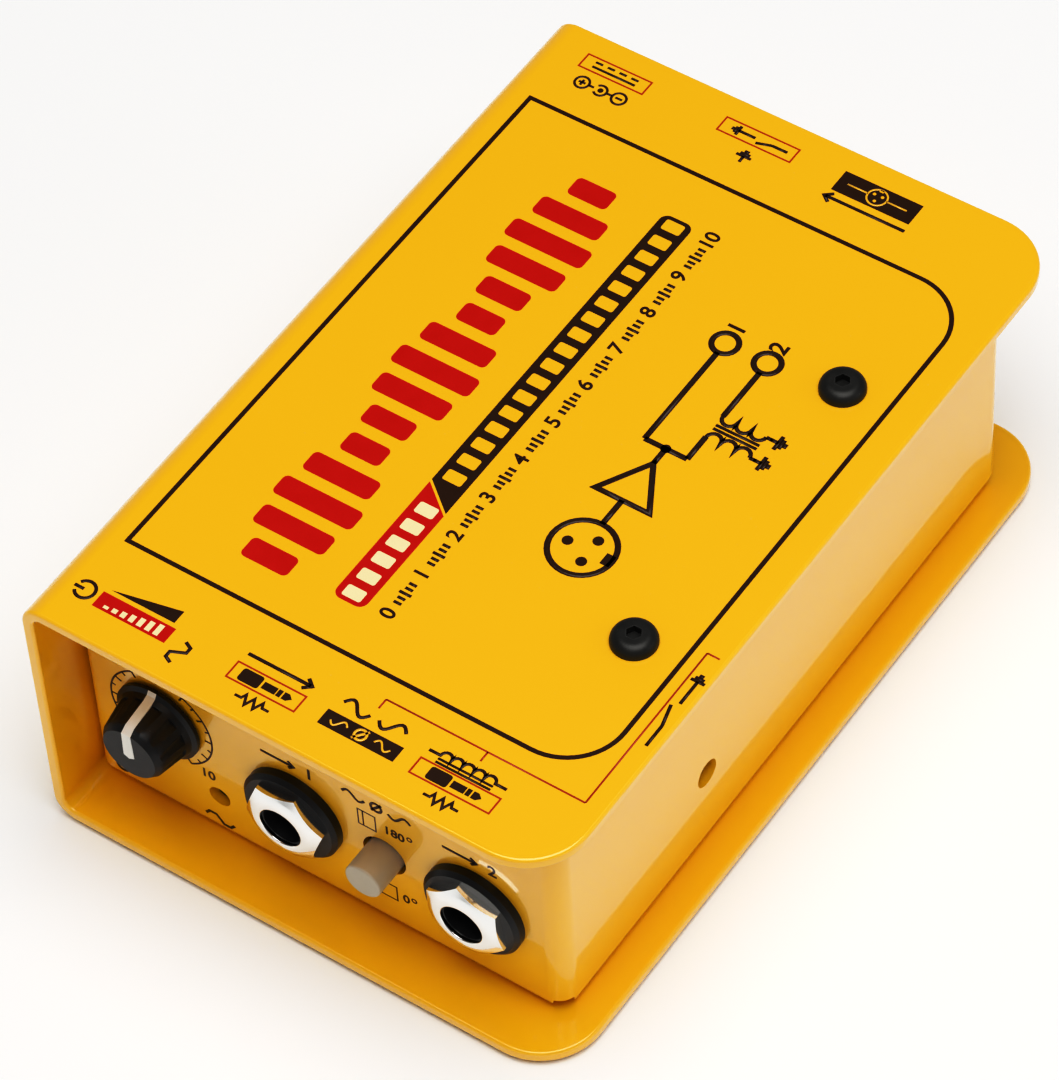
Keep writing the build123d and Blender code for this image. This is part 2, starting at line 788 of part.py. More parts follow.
# ================================================================ output jacks
def output_jack(name, jack_x, nut_turn):
    """Board-mounted quarter-inch jack with its panel fixings."""
    face = front_plane(jack_x, jack_z)
    bushing_end = jack_nut_front - jack_nut_lip
    body_middle = (jack_top_rise - jack_rise) / 2
    with BuildPart() as body:
        with BuildSketch(face.offset(-chassis_sheet)):
            with Locations((0, body_middle)):
                Rectangle(jack_width, jack_rise + jack_top_rise)
        extrude(amount=-jack_depth)
        fillet(body.edges().filter_by(Axis.Y).group_by(Axis.Z)[-1], jack_wall)
        with BuildSketch(face.offset(-chassis_sheet)):
            Circle(jack_bushing_radius)
        extrude(amount=chassis_sheet + bushing_end)
        with BuildSketch(face.offset(-chassis_sheet - jack_front_wall)):
            with Locations((0, body_middle - jack_wall / 2)):
                Rectangle(jack_width - 2 * jack_wall, jack_rise + jack_top_rise - jack_wall)
        extrude(amount=-(jack_depth - jack_front_wall - jack_rear_wall), mode=Mode.SUBTRACT)
        with BuildSketch(face.offset(bushing_end)):
            Circle(plug_bore_radius)
        extrude(amount=-(bushing_end + chassis_sheet + jack_front_wall), mode=Mode.SUBTRACT)
    save(body, f"{name}_body")

    with BuildPart() as bezel:
        with BuildSketch(face):
            Circle(bezel_radius)
        extrude(amount=bezel_thickness)
        chamfer(bezel.faces().sort_by(Axis.Y)[0].edges(), bezel_chamfer)
        with BuildSketch(face):
            Circle(jack_bushing_radius)
        extrude(amount=bezel_thickness, mode=Mode.SUBTRACT)
    save(bezel, f"{name}_bezel")

    corner_radius = hexagon_corner(jack_nut_flats)
    with BuildPart() as nut:
        with BuildSketch(face.offset(bezel_thickness)):
            RegularPolygon(jack_nut_flats / 2, 6, major_radius=False, rotation=nut_turn)
        extrude(amount=jack_nut_front - bezel_thickness)
        with BuildSketch(profile_plane(face)):
            with BuildLine():
                Polyline(
                    (0, 0),
                    (corner_radius + level_slack, 0),
                    (corner_radius + level_slack, jack_nut_front - jack_nut_bevel_drop),
                    (corner_radius - jack_nut_bevel_run, jack_nut_front - jack_nut_crown_drop),
                    (corner_radius - jack_nut_bevel_run - jack_nut_crown_run, jack_nut_front),
                    (0, jack_nut_front),
                    close=True,
                )
            make_face()
        revolve(axis=face_axis(face), mode=Mode.INTERSECT)
        with BuildSketch(face.offset(jack_nut_front - jack_nut_lip)):
            Circle(jack_bushing_radius)
        extrude(amount=-(jack_nut_front - jack_nut_lip), mode=Mode.SUBTRACT)
        with BuildSketch(face):
            Circle(plug_bore_radius + nut_lip_clearance)
        extrude(amount=jack_nut_front, mode=Mode.SUBTRACT)
        lip_edge = nut.faces().sort_by(Axis.Y)[0].edges().filter_by(GeomType.CIRCLE).sort_by(Edge.radius)[0]
        fillet(lip_edge, jack_nut_lip_round)
    save(nut, f"{name}_nut")

    strip_rise = plug_bore_radius + contact_clearance
    cavity_back_y = front_y + chassis_sheet + jack_depth - jack_rear_wall
    cavity_front_y = front_y + chassis_sheet + jack_front_wall
    tip_high_z = jack_z + strip_rise + tip_spring_rise
    sleeve_low_z = jack_z - strip_rise - sleeve_spring_rise
    with BuildPart() as contacts:
        with BuildSketch(Plane.YZ.offset(jack_x - contact_width / 2)):
            with BuildLine():
                Polyline(
                    (cavity_front_y + tip_spring_start, tip_high_z),
                    (cavity_back_y - tip_spring_bends[0], tip_high_z),
                    (cavity_back_y - tip_spring_bends[1], jack_z + strip_rise + contact_strip / 2),
                    (cavity_back_y - tip_spring_bends[2], tip_high_z),
                    (cavity_back_y - contact_strip, tip_high_z),
                    (cavity_back_y - contact_strip, board_z),
                )
            trace(line_width=contact_strip)
            with BuildLine():
                Polyline(
                    (cavity_front_y + sleeve_spring_bends[0], board_z),
                    (cavity_front_y + sleeve_spring_bends[0], sleeve_low_z),
                    (cavity_front_y + sleeve_spring_bends[1], jack_z - strip_rise - contact_strip / 2),
                    (cavity_front_y + sleeve_spring_bends[2], sleeve_low_z),
                )
            trace(line_width=contact_strip)
        extrude(amount=contact_width)
        with BuildSketch(Plane.XY.offset(board_z)):
            with Locations((jack_x + strip_rise + side_spring_gap, (cavity_front_y + cavity_back_y) / 2)):
                Rectangle(contact_strip, side_spring_length)
        extrude(amount=jack_rise + contact_width / 2)
    save(contacts, f"{name}_contacts")


output_jack("out_a", out_a_x, jack_nut_turns[0])
output_jack("out_b", out_b_x, jack_nut_turns[1])


# ================================================================ push switches
def switch_housing(name, face, rise, standback, length):
    """Switch body that stands on the board behind a panel, open in front for its plunger."""
    with BuildPart() as housing:
        with BuildSketch(face.offset(-standback)):
            with Locations((0, (switch_top_rise - rise) / 2)):
                Rectangle(switch_width, rise + switch_top_rise)
        extrude(amount=-length)
        chamfer(housing.edges().group_by(Axis.Z)[-1], moulded_chamfer)
        with BuildSketch(face.offset(-standback)):
            Rectangle(plunger_side + 2 * plunger_clearance, plunger_side + 2 * plunger_clearance)
        extrude(amount=-(length - switch_wall), mode=Mode.SUBTRACT)
    save(housing, name)


def capped_switch(name, face):
    """Latching push switch with a round cap that stands out of the panel."""
    cap_back = cap_proud - cap_length
    switch_housing(f"{name}_switch", face, switch_rise, switch_standback, switch_length)
    plunger_back = -(switch_standback + switch_length - switch_wall - press_travel - 2 * plunger_clearance)
    with BuildPart() as plunger:
        with BuildSketch(face.offset(plunger_back)):
            Rectangle(plunger_side, plunger_side)
        extrude(amount=-plunger_back)
    save(plunger, f"{name}_plunger")
    with BuildPart() as button:
        with BuildSketch(face.offset(cap_back)):
            Circle(cap_radius)
        extrude(amount=cap_length)
        fillet(button.faces().sort_by(face_axis(face))[-1].edges(), cap_edge)
        with BuildSketch(face.offset(cap_back)):
            Rectangle(plunger_side, plunger_side)
        extrude(amount=-cap_back, mode=Mode.SUBTRACT)
    save(button, f"{name}_button")


capped_switch("polarity", front_plane(polarity_x, switch_z))
capped_switch("rear_lift", rear_plane(rear_lift_x, switch_z))

side_face = side_plane(side_lift_y, side_switch_z)
switch_housing("side_lift_switch", side_face, side_switch_rise, side_switch_standback, side_switch_length)
with BuildPart() as side_lift_plunger:
    side_plunger_back = -(
        side_switch_standback + side_switch_length - switch_wall - side_press_travel - 2 * plunger_clearance
    )
    with BuildSketch(side_face.offset(side_plunger_back)):
        Rectangle(plunger_side, plunger_side)
    extrude(amount=side_tip_overlap - side_switch_standback - side_plunger_back)
    with BuildSketch(side_face.offset(side_tip_overlap - side_switch_standback)):
        Circle(side_tip_radius)
    extrude(amount=side_switch_standback - side_tip_overlap - side_tip_recess)
    chamfer(side_lift_plunger.faces().sort_by(Axis.X)[-1].edges(), small_chamfer)
save(side_lift_plunger, "side_lift_plunger")


# ================================================================ lamps behind the front panel
def lamp(name, lamp_x):
    """Small round lamp lying along its hole, with its two leads bent down to the board."""
    face = front_plane(lamp_x, led_z)
    flange_back = -led_recess - led_length
    with BuildPart() as led:
        with BuildSketch(face.offset(flange_back)):
            Circle(led_flange_radius)
        extrude(amount=led_flange_thickness)
        with BuildSketch(face.offset(flange_back)):
            Circle(led_radius)
        extrude(amount=led_length)
        fillet(led.faces().sort_by(Axis.Y)[0].edges(), led_radius - led_dome_land)
        with BuildSketch(face.offset(flange_back)):
            with GridLocations(lead_pitch, 0, 2, 1):
                Rectangle(led_lead, led_lead)
        extrude(amount=-led_lead_reach)
        with BuildSketch(Plane.XY.offset(board_z)):
            with Locations((lamp_x, front_y - flange_back + led_lead_reach - led_lead / 2)):
                with GridLocations(lead_pitch, 0, 2, 1):
                    Rectangle(led_lead, led_lead)
        extrude(amount=led_rise + led_lead / 2)
    save(led, name)


lamp("power_led", power_led_x)
lamp("clip_led", clip_led_x)


# ================================================================ power inlet
dc_face = rear_plane(dc_x, dc_z)
with BuildPart() as dc_inlet_body:
    with BuildSketch(dc_face.offset(-chassis_sheet)):
        with Locations((0, (dc_body_top_rise - dc_rise) / 2)):
            Rectangle(dc_body_width, dc_rise + dc_body_top_rise)
    extrude(amount=-dc_body_depth)
    chamfer(dc_inlet_body.edges().filter_by(Axis.Y).group_by(Axis.Z)[-1], dc_body_chamfer)
    with BuildSketch(dc_face.offset(-chassis_sheet)):
        Circle(dc_snout_radius)
    extrude(amount=chassis_sheet + dc_snout_proud)
    chamfer(dc_inlet_body.faces().sort_by(Axis.Y)[-1].edges(), small_chamfer)
    with BuildSketch(dc_face.offset(dc_snout_proud)):
        Circle(dc_bore_radius)
    extrude(amount=-dc_bore_depth, mode=Mode.SUBTRACT)
save(dc_inlet_body, "dc_inlet_body")

with BuildPart() as dc_inlet_pin:
    with BuildSketch(dc_face.offset(dc_snout_proud - dc_bore_depth)):
        Circle(dc_pin_radius)
    extrude(amount=dc_bore_depth - dc_pin_recess)
    fillet(dc_inlet_pin.faces().sort_by(Axis.Y)[-1].edges(), dc_pin_round)
save(dc_inlet_pin, "dc_inlet_pin")

with BuildPart() as dc_inlet_terminals:
    terminal_y = rear_inner_y - dc_body_depth - dc_terminal_sheet / 2
    with BuildSketch(Plane.XY.offset(board_z)):
        with Locations((dc_x, terminal_y)):
            with GridLocations(dc_body_width / 3, 0, 3, 1):
                Rectangle(dc_terminal_width, dc_terminal_sheet)
    extrude(amount=dc_rise)
save(dc_inlet_terminals, "dc_inlet_terminals")


# ================================================================ balanced input
xlr_face = rear_plane(xlr_x, xlr_z)
latch_base = xlr_mouth_radius + latch_clearance
latch_slot_side = latch_width + 2 * latch_clearance
latch_slot_top = latch_base + latch_strip + latch_clearance
xlr_front = xlr_flange_thickness
xlr_back = -xlr_tube_depth

with BuildPart() as xlr_housing:
    with BuildSketch(xlr_face):
        RectangleRounded(xlr_flange_width, xlr_flange_height, xlr_flange_corner)
    extrude(amount=xlr_flange_thickness)
    chamfer(xlr_housing.faces().sort_by(Axis.Y)[-1].edges(), moulded_chamfer)
    with BuildSketch(xlr_face):
        Circle(xlr_tube_radius)
    extrude(amount=xlr_back)
    with BuildSketch(xlr_face.offset(xlr_front)):
        Circle(xlr_mouth_radius)
    extrude(amount=xlr_back - xlr_front, mode=Mode.SUBTRACT)
    with BuildSketch(xlr_face.offset(xlr_front)):
        with Locations((0, latch_slot_top / 2)):
            Rectangle(latch_slot_side, latch_slot_top)
    extrude(amount=-(latch_length + latch_travel + 2 * latch_clearance), mode=Mode.SUBTRACT)
    with BuildSketch(xlr_face.offset(xlr_front)):
        with Locations(*xlr_screw_spots):
            Circle(xlr_screw_head_radius)
    extrude(amount=-(xlr_screw_head_radius - xlr_screw_radius), taper=countersink_taper, mode=Mode.SUBTRACT)
    with BuildSketch(xlr_face):
        with Locations(*xlr_screw_spots):
            Circle(xlr_screw_radius)
    extrude(amount=xlr_flange_thickness, mode=Mode.SUBTRACT)
save(xlr_housing, "xlr_housing")

with BuildPart() as xlr_insert:
    with BuildSketch(xlr_face.offset(xlr_front - xlr_insert_recess)):
        Circle(xlr_insert_radius)
        with Locations((0, -xlr_insert_radius)):
            Rectangle(xlr_key_width, xlr_key_depth, mode=Mode.SUBTRACT)
    extrude(amount=-(xlr_mouth_depth - xlr_insert_recess))
    chamfer(xlr_insert.faces().sort_by(Axis.Y)[-1].edges(), moulded_chamfer)
    with BuildSketch(xlr_face.offset(xlr_back)):
        Circle(xlr_mouth_radius)
    extrude(amount=xlr_tube_depth + xlr_front - xlr_mouth_depth)
    with BuildSketch(xlr_face.offset(xlr_front - xlr_insert_recess)):
        with PolarLocations(xlr_contact_circle, xlr_contact_count, start_angle=xlr_contact_turn):
            Circle(xlr_contact_radius)
    extrude(amount=-(xlr_contact_recess + xlr_contact_length), mode=Mode.SUBTRACT)
    with BuildSketch(xlr_face.offset(xlr_back)):
        with PolarLocations(xlr_contact_circle, xlr_contact_count, start_angle=xlr_contact_turn):
            Circle(xlr_contact_bore / 2)
    extrude(amount=xlr_tube_depth, mode=Mode.SUBTRACT)
save(xlr_insert, "xlr_insert")

with BuildPart() as xlr_contacts:
    contact_front = xlr_front - xlr_insert_recess - xlr_contact_recess
    contact_back = contact_front - xlr_contact_length
    with BuildSketch(xlr_face.offset(contact_back)):
        with PolarLocations(xlr_contact_circle, xlr_contact_count, start_angle=xlr_contact_turn):
            Circle(xlr_contact_radius)
    extrude(amount=xlr_contact_length)
    with BuildSketch(xlr_face.offset(contact_front)):
        with PolarLocations(xlr_contact_circle, xlr_contact_count, start_angle=xlr_contact_turn):
            Circle(xlr_contact_bore)
    extrude(amount=-(xlr_contact_length - xlr_contact_bore), mode=Mode.SUBTRACT)
    with BuildSketch(xlr_face.offset(contact_back)):
        with PolarLocations(xlr_contact_circle, xlr_contact_count, start_angle=xlr_contact_turn):
            Circle(xlr_contact_bore / 2)
    extrude(amount=xlr_back - contact_back - xlr_tail_proud)
save(xlr_contacts, "xlr_contacts")

with BuildPart() as xlr_latch:
    with BuildSketch(xlr_face.offset(xlr_front + latch_tab_gap + latch_tab_thickness)):
        with Locations((0, latch_base + latch_strip / 2)):
            Rectangle(latch_width, latch_strip)
    extrude(amount=-(latch_length + latch_tab_gap + latch_tab_thickness))
    with BuildSketch(xlr_face.offset(xlr_front + latch_tab_gap)):
        with Locations((0, latch_base + latch_tab_height / 2)):
            RectangleRounded(latch_tab_width, latch_tab_height, latch_tab_corner)
    extrude(amount=latch_tab_thickness)
    with BuildSketch(xlr_face.offset(xlr_front - latch_length + latch_hook_inset)):
        with Locations((0, latch_base - latch_hook / 2)):
            Rectangle(latch_width / 2, latch_hook)
    extrude(amount=latch_hook_length)
save(xlr_latch, "xlr_latch")

with BuildPart() as xlr_screws:
    with BuildSketch(xlr_face.offset(xlr_front)):
        with Locations(*xlr_screw_spots):
            Circle(xlr_screw_head_radius)
    extrude(amount=-(xlr_screw_head_radius - xlr_screw_radius), taper=countersink_taper)
    with BuildSketch(xlr_face.offset(xlr_front)):
        with Locations(*xlr_screw_spots):
            Circle(xlr_screw_radius)
    extrude(amount=-(xlr_flange_thickness + chassis_sheet + xlr_screw_tail))
    with BuildSketch(xlr_face.offset(xlr_front)):
        with Locations(*xlr_screw_spots):
            Rectangle(xlr_screw_slot_length, xlr_screw_slot_width)
            Rectangle(xlr_screw_slot_width, xlr_screw_slot_length)
    extrude(amount=-xlr_screw_slot_depth, mode=Mode.SUBTRACT)
save(xlr_screws, "xlr_screws")


# ================================================================ isolating transformer
transformer_x = chassis_left_x + board_edge_gap + transformer_inset + core_width / 2
window_width = (core_width - 2 * core_leg) / 2
window_height = core_height - core_leg
core_middle_z = board_z + core_height / 2

with BuildPart() as transformer_core:
    with BuildSketch(Plane.XZ.offset(-core_stack / 2)):
        with Locations((transformer_x, core_middle_z)):
            Rectangle(core_width, core_height)
            with GridLocations(core_leg + window_width, 0, 2, 1):
                Rectangle(window_width, window_height, mode=Mode.SUBTRACT)
    extrude(amount=core_stack)
save(transformer_core, "transformer_core")

leg_x = core_leg + 2 * bobbin_gap
leg_y = core_stack + 2 * bobbin_gap
flange_x = core_leg + 2 * (window_width - bobbin_window_gap)
flange_y = core_stack + 2 * winding_overhang
bobbin_low_z = core_middle_z - window_height / 2
bobbin_high_z = bobbin_low_z + window_height
with BuildPart() as transformer_bobbin:
    with BuildSketch(Plane.XY.offset(bobbin_low_z)):
        with Locations((transformer_x, 0)):
            Rectangle(leg_x + 2 * bobbin_wall, leg_y + 2 * bobbin_wall)
    extrude(amount=window_height)
    with BuildSketch(Plane.XY.offset(bobbin_low_z), Plane.XY.offset(bobbin_high_z - bobbin_wall)):
        with Locations((transformer_x, 0)):
            Rectangle(flange_x, flange_y)
    extrude(amount=bobbin_wall)
    with BuildSketch(Plane.XY.offset(bobbin_low_z)):
        with Locations((transformer_x, 0)):
            Rectangle(leg_x, leg_y)
    extrude(amount=window_height, mode=Mode.SUBTRACT)
save(transformer_bobbin, "transformer_bobbin")

with BuildPart() as transformer_winding:
    with BuildSketch(Plane.XY.offset(bobbin_low_z + bobbin_wall)) as winding_outline:
        with Locations((transformer_x, 0)):
            Rectangle(flange_x - 2 * winding_set_in, flange_y - 2 * winding_set_in)
        fillet(winding_outline.vertices(), winding_corner)
        with Locations((transformer_x, 0)):
            Rectangle(leg_x + 2 * bobbin_wall, leg_y + 2 * bobbin_wall, mode=Mode.SUBTRACT)
    extrude(amount=window_height - 2 * bobbin_wall)
save(transformer_winding, "transformer_winding")


# ================================================================ small components on the board
transformer_right_x = transformer_x + core_width / 2
film_x = transformer_right_x + small_part_gap + film_size[0] / 2
chip_x = film_x + film_size[0] / 2 + small_part_gap + chip_size[1] / 2
can_x = transformer_right_x + can_pitch

with BuildPart() as film_capacitors:
    with BuildSketch(Plane.XY.offset(board_z)):
        with Locations((film_x, 0)):
            with GridLocations(0, film_pitch, 1, film_count):
                RectangleRounded(film_size[0], film_size[1], film_corner)
    extrude(amount=film_size[2])
save(film_capacitors, "film_capacitors")

with BuildPart() as op_amps:
    with BuildSketch(Plane.XY.offset(board_z + chip_stand)):
        with Locations((chip_x, 0)):
            with GridLocations(0, chip_pitch, 1, 2):
                Rectangle(chip_size[1], chip_size[0])
    extrude(amount=chip_size[2])
    with BuildSketch(Plane.XY.offset(board_z)):
        with Locations((chip_x, 0)):
            with GridLocations(0, chip_pitch, 1, 2):
                with GridLocations(chip_pin_spread, lead_pitch, 2, 4):
                    Rectangle(chip_pin_width, chip_pin_width)
    extrude(amount=chip_size[2] / 2 + chip_stand)
save(op_amps, "op_amps")

with BuildPart() as electrolytic_capacitors:
    with BuildSketch(Plane.XY.offset(board_z)):
        with Locations((can_x + can_pitch / 2, 0)):
            with GridLocations(can_pitch, can_row_spacing, 2, 2):
                Circle(can_radius)
    extrude(amount=can_height)
    fillet(electrolytic_capacitors.edges().group_by(Axis.Z)[-1], can_rim_round)
save(electrolytic_capacitors, "electrolytic_capacitors")

with BuildPart() as resistors:
    resistor_y = -core_stack / 2 - winding_overhang - resistor_row_gap
    for place in range(resistor_count):
        resistor_x = transformer_x - resistor_row_start + place * resistor_pitch
        with Locations(Location((resistor_x, resistor_y, board_z + resistor_rise), (90, 0, 0))):
            Cylinder(resistor_radius, resistor_length)
            Cylinder(resistor_wire, resistor_span)
        with Locations(
            (resistor_x, resistor_y - resistor_span / 2, board_z),
            (resistor_x, resistor_y + resistor_span / 2, board_z),
        ):
            Cylinder(resistor_wire, resistor_rise, align=(Align.CENTER, Align.CENTER, Align.MIN))
save(resistors, "resistors")

with BuildPart() as voltage_regulator:
    regulator_y = core_stack / 2 + winding_overhang + regulator_gap
    with BuildSketch(Plane.XY.offset(board_z + regulator_leg_rise)):
        with Locations((dc_x, regulator_y)):
            Rectangle(regulator_size[0], regulator_size[1])
    extrude(amount=regulator_size[2])
    with BuildSketch(Plane.XY.offset(board_z + regulator_leg_rise)):
        with Locations((dc_x, regulator_y + regulator_size[1] / 2 - regulator_tab / 2)):
            Rectangle(regulator_size[0], regulator_tab)
    extrude(amount=regulator_size[2] + regulator_tab_rise)
    with BuildSketch(Plane.XY.offset(board_z)):
        with Locations((dc_x, regulator_y)):
            with GridLocations(lead_pitch, 0, 3, 1):
                Rectangle(regulator_leg_width, regulator_leg_sheet)
    extrude(amount=regulator_leg_rise)
save(voltage_regulator, "voltage_regulator")
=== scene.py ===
import bpy
import json
import math
from mathutils import Matrix, Vector


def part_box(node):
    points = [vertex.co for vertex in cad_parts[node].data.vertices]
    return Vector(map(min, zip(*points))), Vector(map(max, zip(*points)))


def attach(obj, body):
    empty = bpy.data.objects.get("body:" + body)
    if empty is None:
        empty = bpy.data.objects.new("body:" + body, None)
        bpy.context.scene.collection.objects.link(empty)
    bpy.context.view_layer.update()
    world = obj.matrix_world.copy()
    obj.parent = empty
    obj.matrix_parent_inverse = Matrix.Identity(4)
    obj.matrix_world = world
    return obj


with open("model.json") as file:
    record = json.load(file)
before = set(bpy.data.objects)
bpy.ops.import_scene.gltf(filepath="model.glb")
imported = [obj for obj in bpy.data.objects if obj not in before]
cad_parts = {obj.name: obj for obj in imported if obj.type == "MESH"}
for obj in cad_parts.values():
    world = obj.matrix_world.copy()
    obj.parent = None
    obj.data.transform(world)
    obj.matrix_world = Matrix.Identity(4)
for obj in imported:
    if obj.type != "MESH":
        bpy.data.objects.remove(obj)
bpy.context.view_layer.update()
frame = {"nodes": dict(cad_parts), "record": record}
nodes = frame["nodes"]
mm = 0.001
print("frame loaded,", len(nodes), "CAD nodes")


def middle(node):
    low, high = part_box(node)
    return (low + high) / 2 / mm


def highest(node):
    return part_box(node)[1] / mm


def lowest(node):
    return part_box(node)[0] / mm


# camera, lights and floor

cameraSet = {
    "lens": 182.05,
    "place": (0.28320, -0.38088, 0.60449),
    "turn": (39.0871, 2.4324, 34.1553),  # degrees
}
lightSet = {
    "overhead": {"place": (0.15, -0.10, 1.00), "size": (0.9, 0.9), "power": 10.9},
    "right": {"place": (1.10, 0.35, 0.45), "size": (0.7, 0.5), "power": 0.9},
    "skyTop": 0.10,
    "skyLow": 0.42,
    "skyStart": 0.10,
    "skyEnd": 0.75,
    "floorColour": (0.97, 0.965, 0.955, 1),
    "tones": (  # film curve
        (0.0, 0.0), (0.1, 0.042), (0.2, 0.13), (0.35, 0.31), (0.5, 0.5), (0.7, 0.76), (1.0, 0.99),
    ),
}


def addCamera():
    bpy.ops.object.camera_add(location=cameraSet["place"])
    camera = bpy.context.object
    camera.name = "camera"
    camera.rotation_euler = [math.radians(angle) for angle in cameraSet["turn"]]
    camera.data.sensor_width = 36
    camera.data.lens = cameraSet["lens"]
    camera.data.clip_end = 20
    bpy.context.scene.camera = camera


def addSoftbox(name):
    values = lightSet[name]
    bpy.ops.object.light_add(type="AREA", location=values["place"])
    light = bpy.context.object
    light.name = name
    light.data.shape = "RECTANGLE"
    light.data.size, light.data.size_y = values["size"]
    light.data.energy = values["power"]
    light.rotation_euler = (-Vector(values["place"])).to_track_quat("-Z", "Y").to_euler()


def addSky():
    world = bpy.data.worlds.new("studio")
    world.use_nodes = True
    tree = world.node_tree
    coords = tree.nodes.new("ShaderNodeTexCoord")
    split = tree.nodes.new("ShaderNodeSeparateXYZ")
    fade = tree.nodes.new("ShaderNodeMapRange")
    fade.inputs["From Min"].default_value = lightSet["skyStart"]
    fade.inputs["From Max"].default_value = lightSet["skyEnd"]
    fade.inputs["To Min"].default_value = lightSet["skyLow"]
    fade.inputs["To Max"].default_value = lightSet["skyTop"]
    tree.links.new(coords.outputs["Generated"], split.inputs[0])
    tree.links.new(split.outputs["Z"], fade.inputs["Value"])
    tree.links.new(fade.outputs[0], tree.nodes["Background"].inputs["Strength"])
    tree.nodes["Background"].inputs["Color"].default_value = (1, 1, 1, 1)
    bpy.context.scene.world = world


def addFloor():
    bpy.ops.mesh.primitive_plane_add(size=8)
    floor = bpy.context.object
    floor.name = "floor"
    paper = bpy.data.materials.new("floor_paper")
    paper.use_nodes = True
    shade = paper.node_tree.nodes["Principled BSDF"]
    shade.inputs["Base Color"].default_value = lightSet["floorColour"]
    shade.inputs["Roughness"].default_value = 0.8
    floor.data.materials.append(paper)


def setTones():
    view = bpy.context.scene.view_settings
    view.view_transform = "Standard"
    view.use_curve_mapping = True
    curve = view.curve_mapping.curves[3]  # the one for all three colours
    first, *between, last = lightSet["tones"]
    curve.points[0].location = first
    curve.points[-1].location = last
    for x, y in between:
        curve.points.new(x, y)
    view.curve_mapping.update()


addCamera()
addSky()
addSoftbox("overhead")
addSoftbox("right")
addFloor()
setTones()
print("studio ready")


# shader node groups that several finishes share

def addNode(tree, kind, x, y, **settings):
    node = tree.nodes.new(kind)
    node.location = (x, y)
    for key, value in settings.items():
        setattr(node, key, value)
    return node


def startGroup(name, inputs, outputs):
    group = bpy.data.node_groups.new(name, "ShaderNodeTree")
    for label, kind, value in inputs:
        socket = group.interface.new_socket(name=label, in_out="INPUT", socket_type=kind)
        socket.default_value = value
    for label, kind in outputs:
        group.interface.new_socket(name=label, in_out="OUTPUT", socket_type=kind)
    return group, addNode(group, "NodeGroupInput", -900, 0), addNode(group, "NodeGroupOutput", 700, 0)


def makeGrainGroup():
    # mottled colour, uneven gloss and a fine height for a moulded, painted or plated skin
    group, entry, leave = startGroup(
        "skin_grain",
        [
            ("Colour", "NodeSocketColor", (0.5, 0.5, 0.5, 1)),
            ("Mottle", "NodeSocketFloat", 0.1),
            ("Mottle Scale", "NodeSocketFloat", 60.0),
            ("Grain Scale", "NodeSocketFloat", 2500.0),
            ("Roughness", "NodeSocketFloat", 0.4),
            ("Gloss Spread", "NodeSocketFloat", 0.08),
        ],
        [("Colour", "NodeSocketColor"), ("Roughness", "NodeSocketFloat"), ("Height", "NodeSocketFloat")],
    )
    coords = addNode(group, "ShaderNodeTexCoord", -900, -300)
    broad = addNode(group, "ShaderNodeTexNoise", -600, 200)
    broad.inputs["Detail"].default_value = 4
    fine = addNode(group, "ShaderNodeTexNoise", -600, -200)
    fine.inputs["Detail"].default_value = 3
    centred = addNode(group, "ShaderNodeMath", -380, 200, operation="SUBTRACT")
    centred.inputs[1].default_value = 0.5
    spread = addNode(group, "ShaderNodeMath", -200, 260, operation="MULTIPLY_ADD")
    spread.inputs[2].default_value = 1.0
    tint = addNode(group, "ShaderNodeVectorMath", 100, 260, operation="SCALE")
    gloss = addNode(group, "ShaderNodeMath", 100, 0, operation="MULTIPLY_ADD")
    for source, target in (
        (coords.outputs["Object"], broad.inputs["Vector"]),
        (coords.outputs["Object"], fine.inputs["Vector"]),
        (entry.outputs["Mottle Scale"], broad.inputs["Scale"]),
        (entry.outputs["Grain Scale"], fine.inputs["Scale"]),
        (broad.outputs["Fac"], centred.inputs[0]),
        (centred.outputs[0], spread.inputs[0]),
        (entry.outputs["Mottle"], spread.inputs[1]),
        (entry.outputs["Colour"], tint.inputs[0]),
        (spread.outputs[0], tint.inputs["Scale"]),
        (centred.outputs[0], gloss.inputs[0]),
        (entry.outputs["Gloss Spread"], gloss.inputs[1]),
        (entry.outputs["Roughness"], gloss.inputs[2]),
        (tint.outputs[0], leave.inputs["Colour"]),
        (gloss.outputs[0], leave.inputs["Roughness"]),
        (fine.outputs["Fac"], leave.inputs["Height"]),
    ):
        group.links.new(source, target)
    return group


def makeEdgeGroup():
    # white on sharp edges, black on open faces
    group, entry, leave = startGroup(
        "edge_touch",
        [("Radius", "NodeSocketFloat", 0.0004), ("Contrast", "NodeSocketFloat", 2.0)],
        [("Mask", "NodeSocketFloat")],
    )
    rounded = addNode(group, "ShaderNodeBevel", -600, 100, samples=4)
    plain = addNode(group, "ShaderNodeNewGeometry", -600, -100)
    agree = addNode(group, "ShaderNodeVectorMath", -380, 0, operation="DOT_PRODUCT")
    away = addNode(group, "ShaderNodeMath", -180, 0, operation="SUBTRACT")
    away.inputs[0].default_value = 1.0
    boost = addNode(group, "ShaderNodeMath", 20, 0, operation="MULTIPLY", use_clamp=True)
    for source, target in (
        (entry.outputs["Radius"], rounded.inputs["Radius"]),
        (rounded.outputs["Normal"], agree.inputs[0]),
        (plain.outputs["Normal"], agree.inputs[1]),
        (agree.outputs["Value"], away.inputs[1]),
        (away.outputs[0], boost.inputs[0]),
        (entry.outputs["Contrast"], boost.inputs[1]),
        (boost.outputs[0], leave.inputs["Mask"]),
    ):
        group.links.new(source, target)
    return group


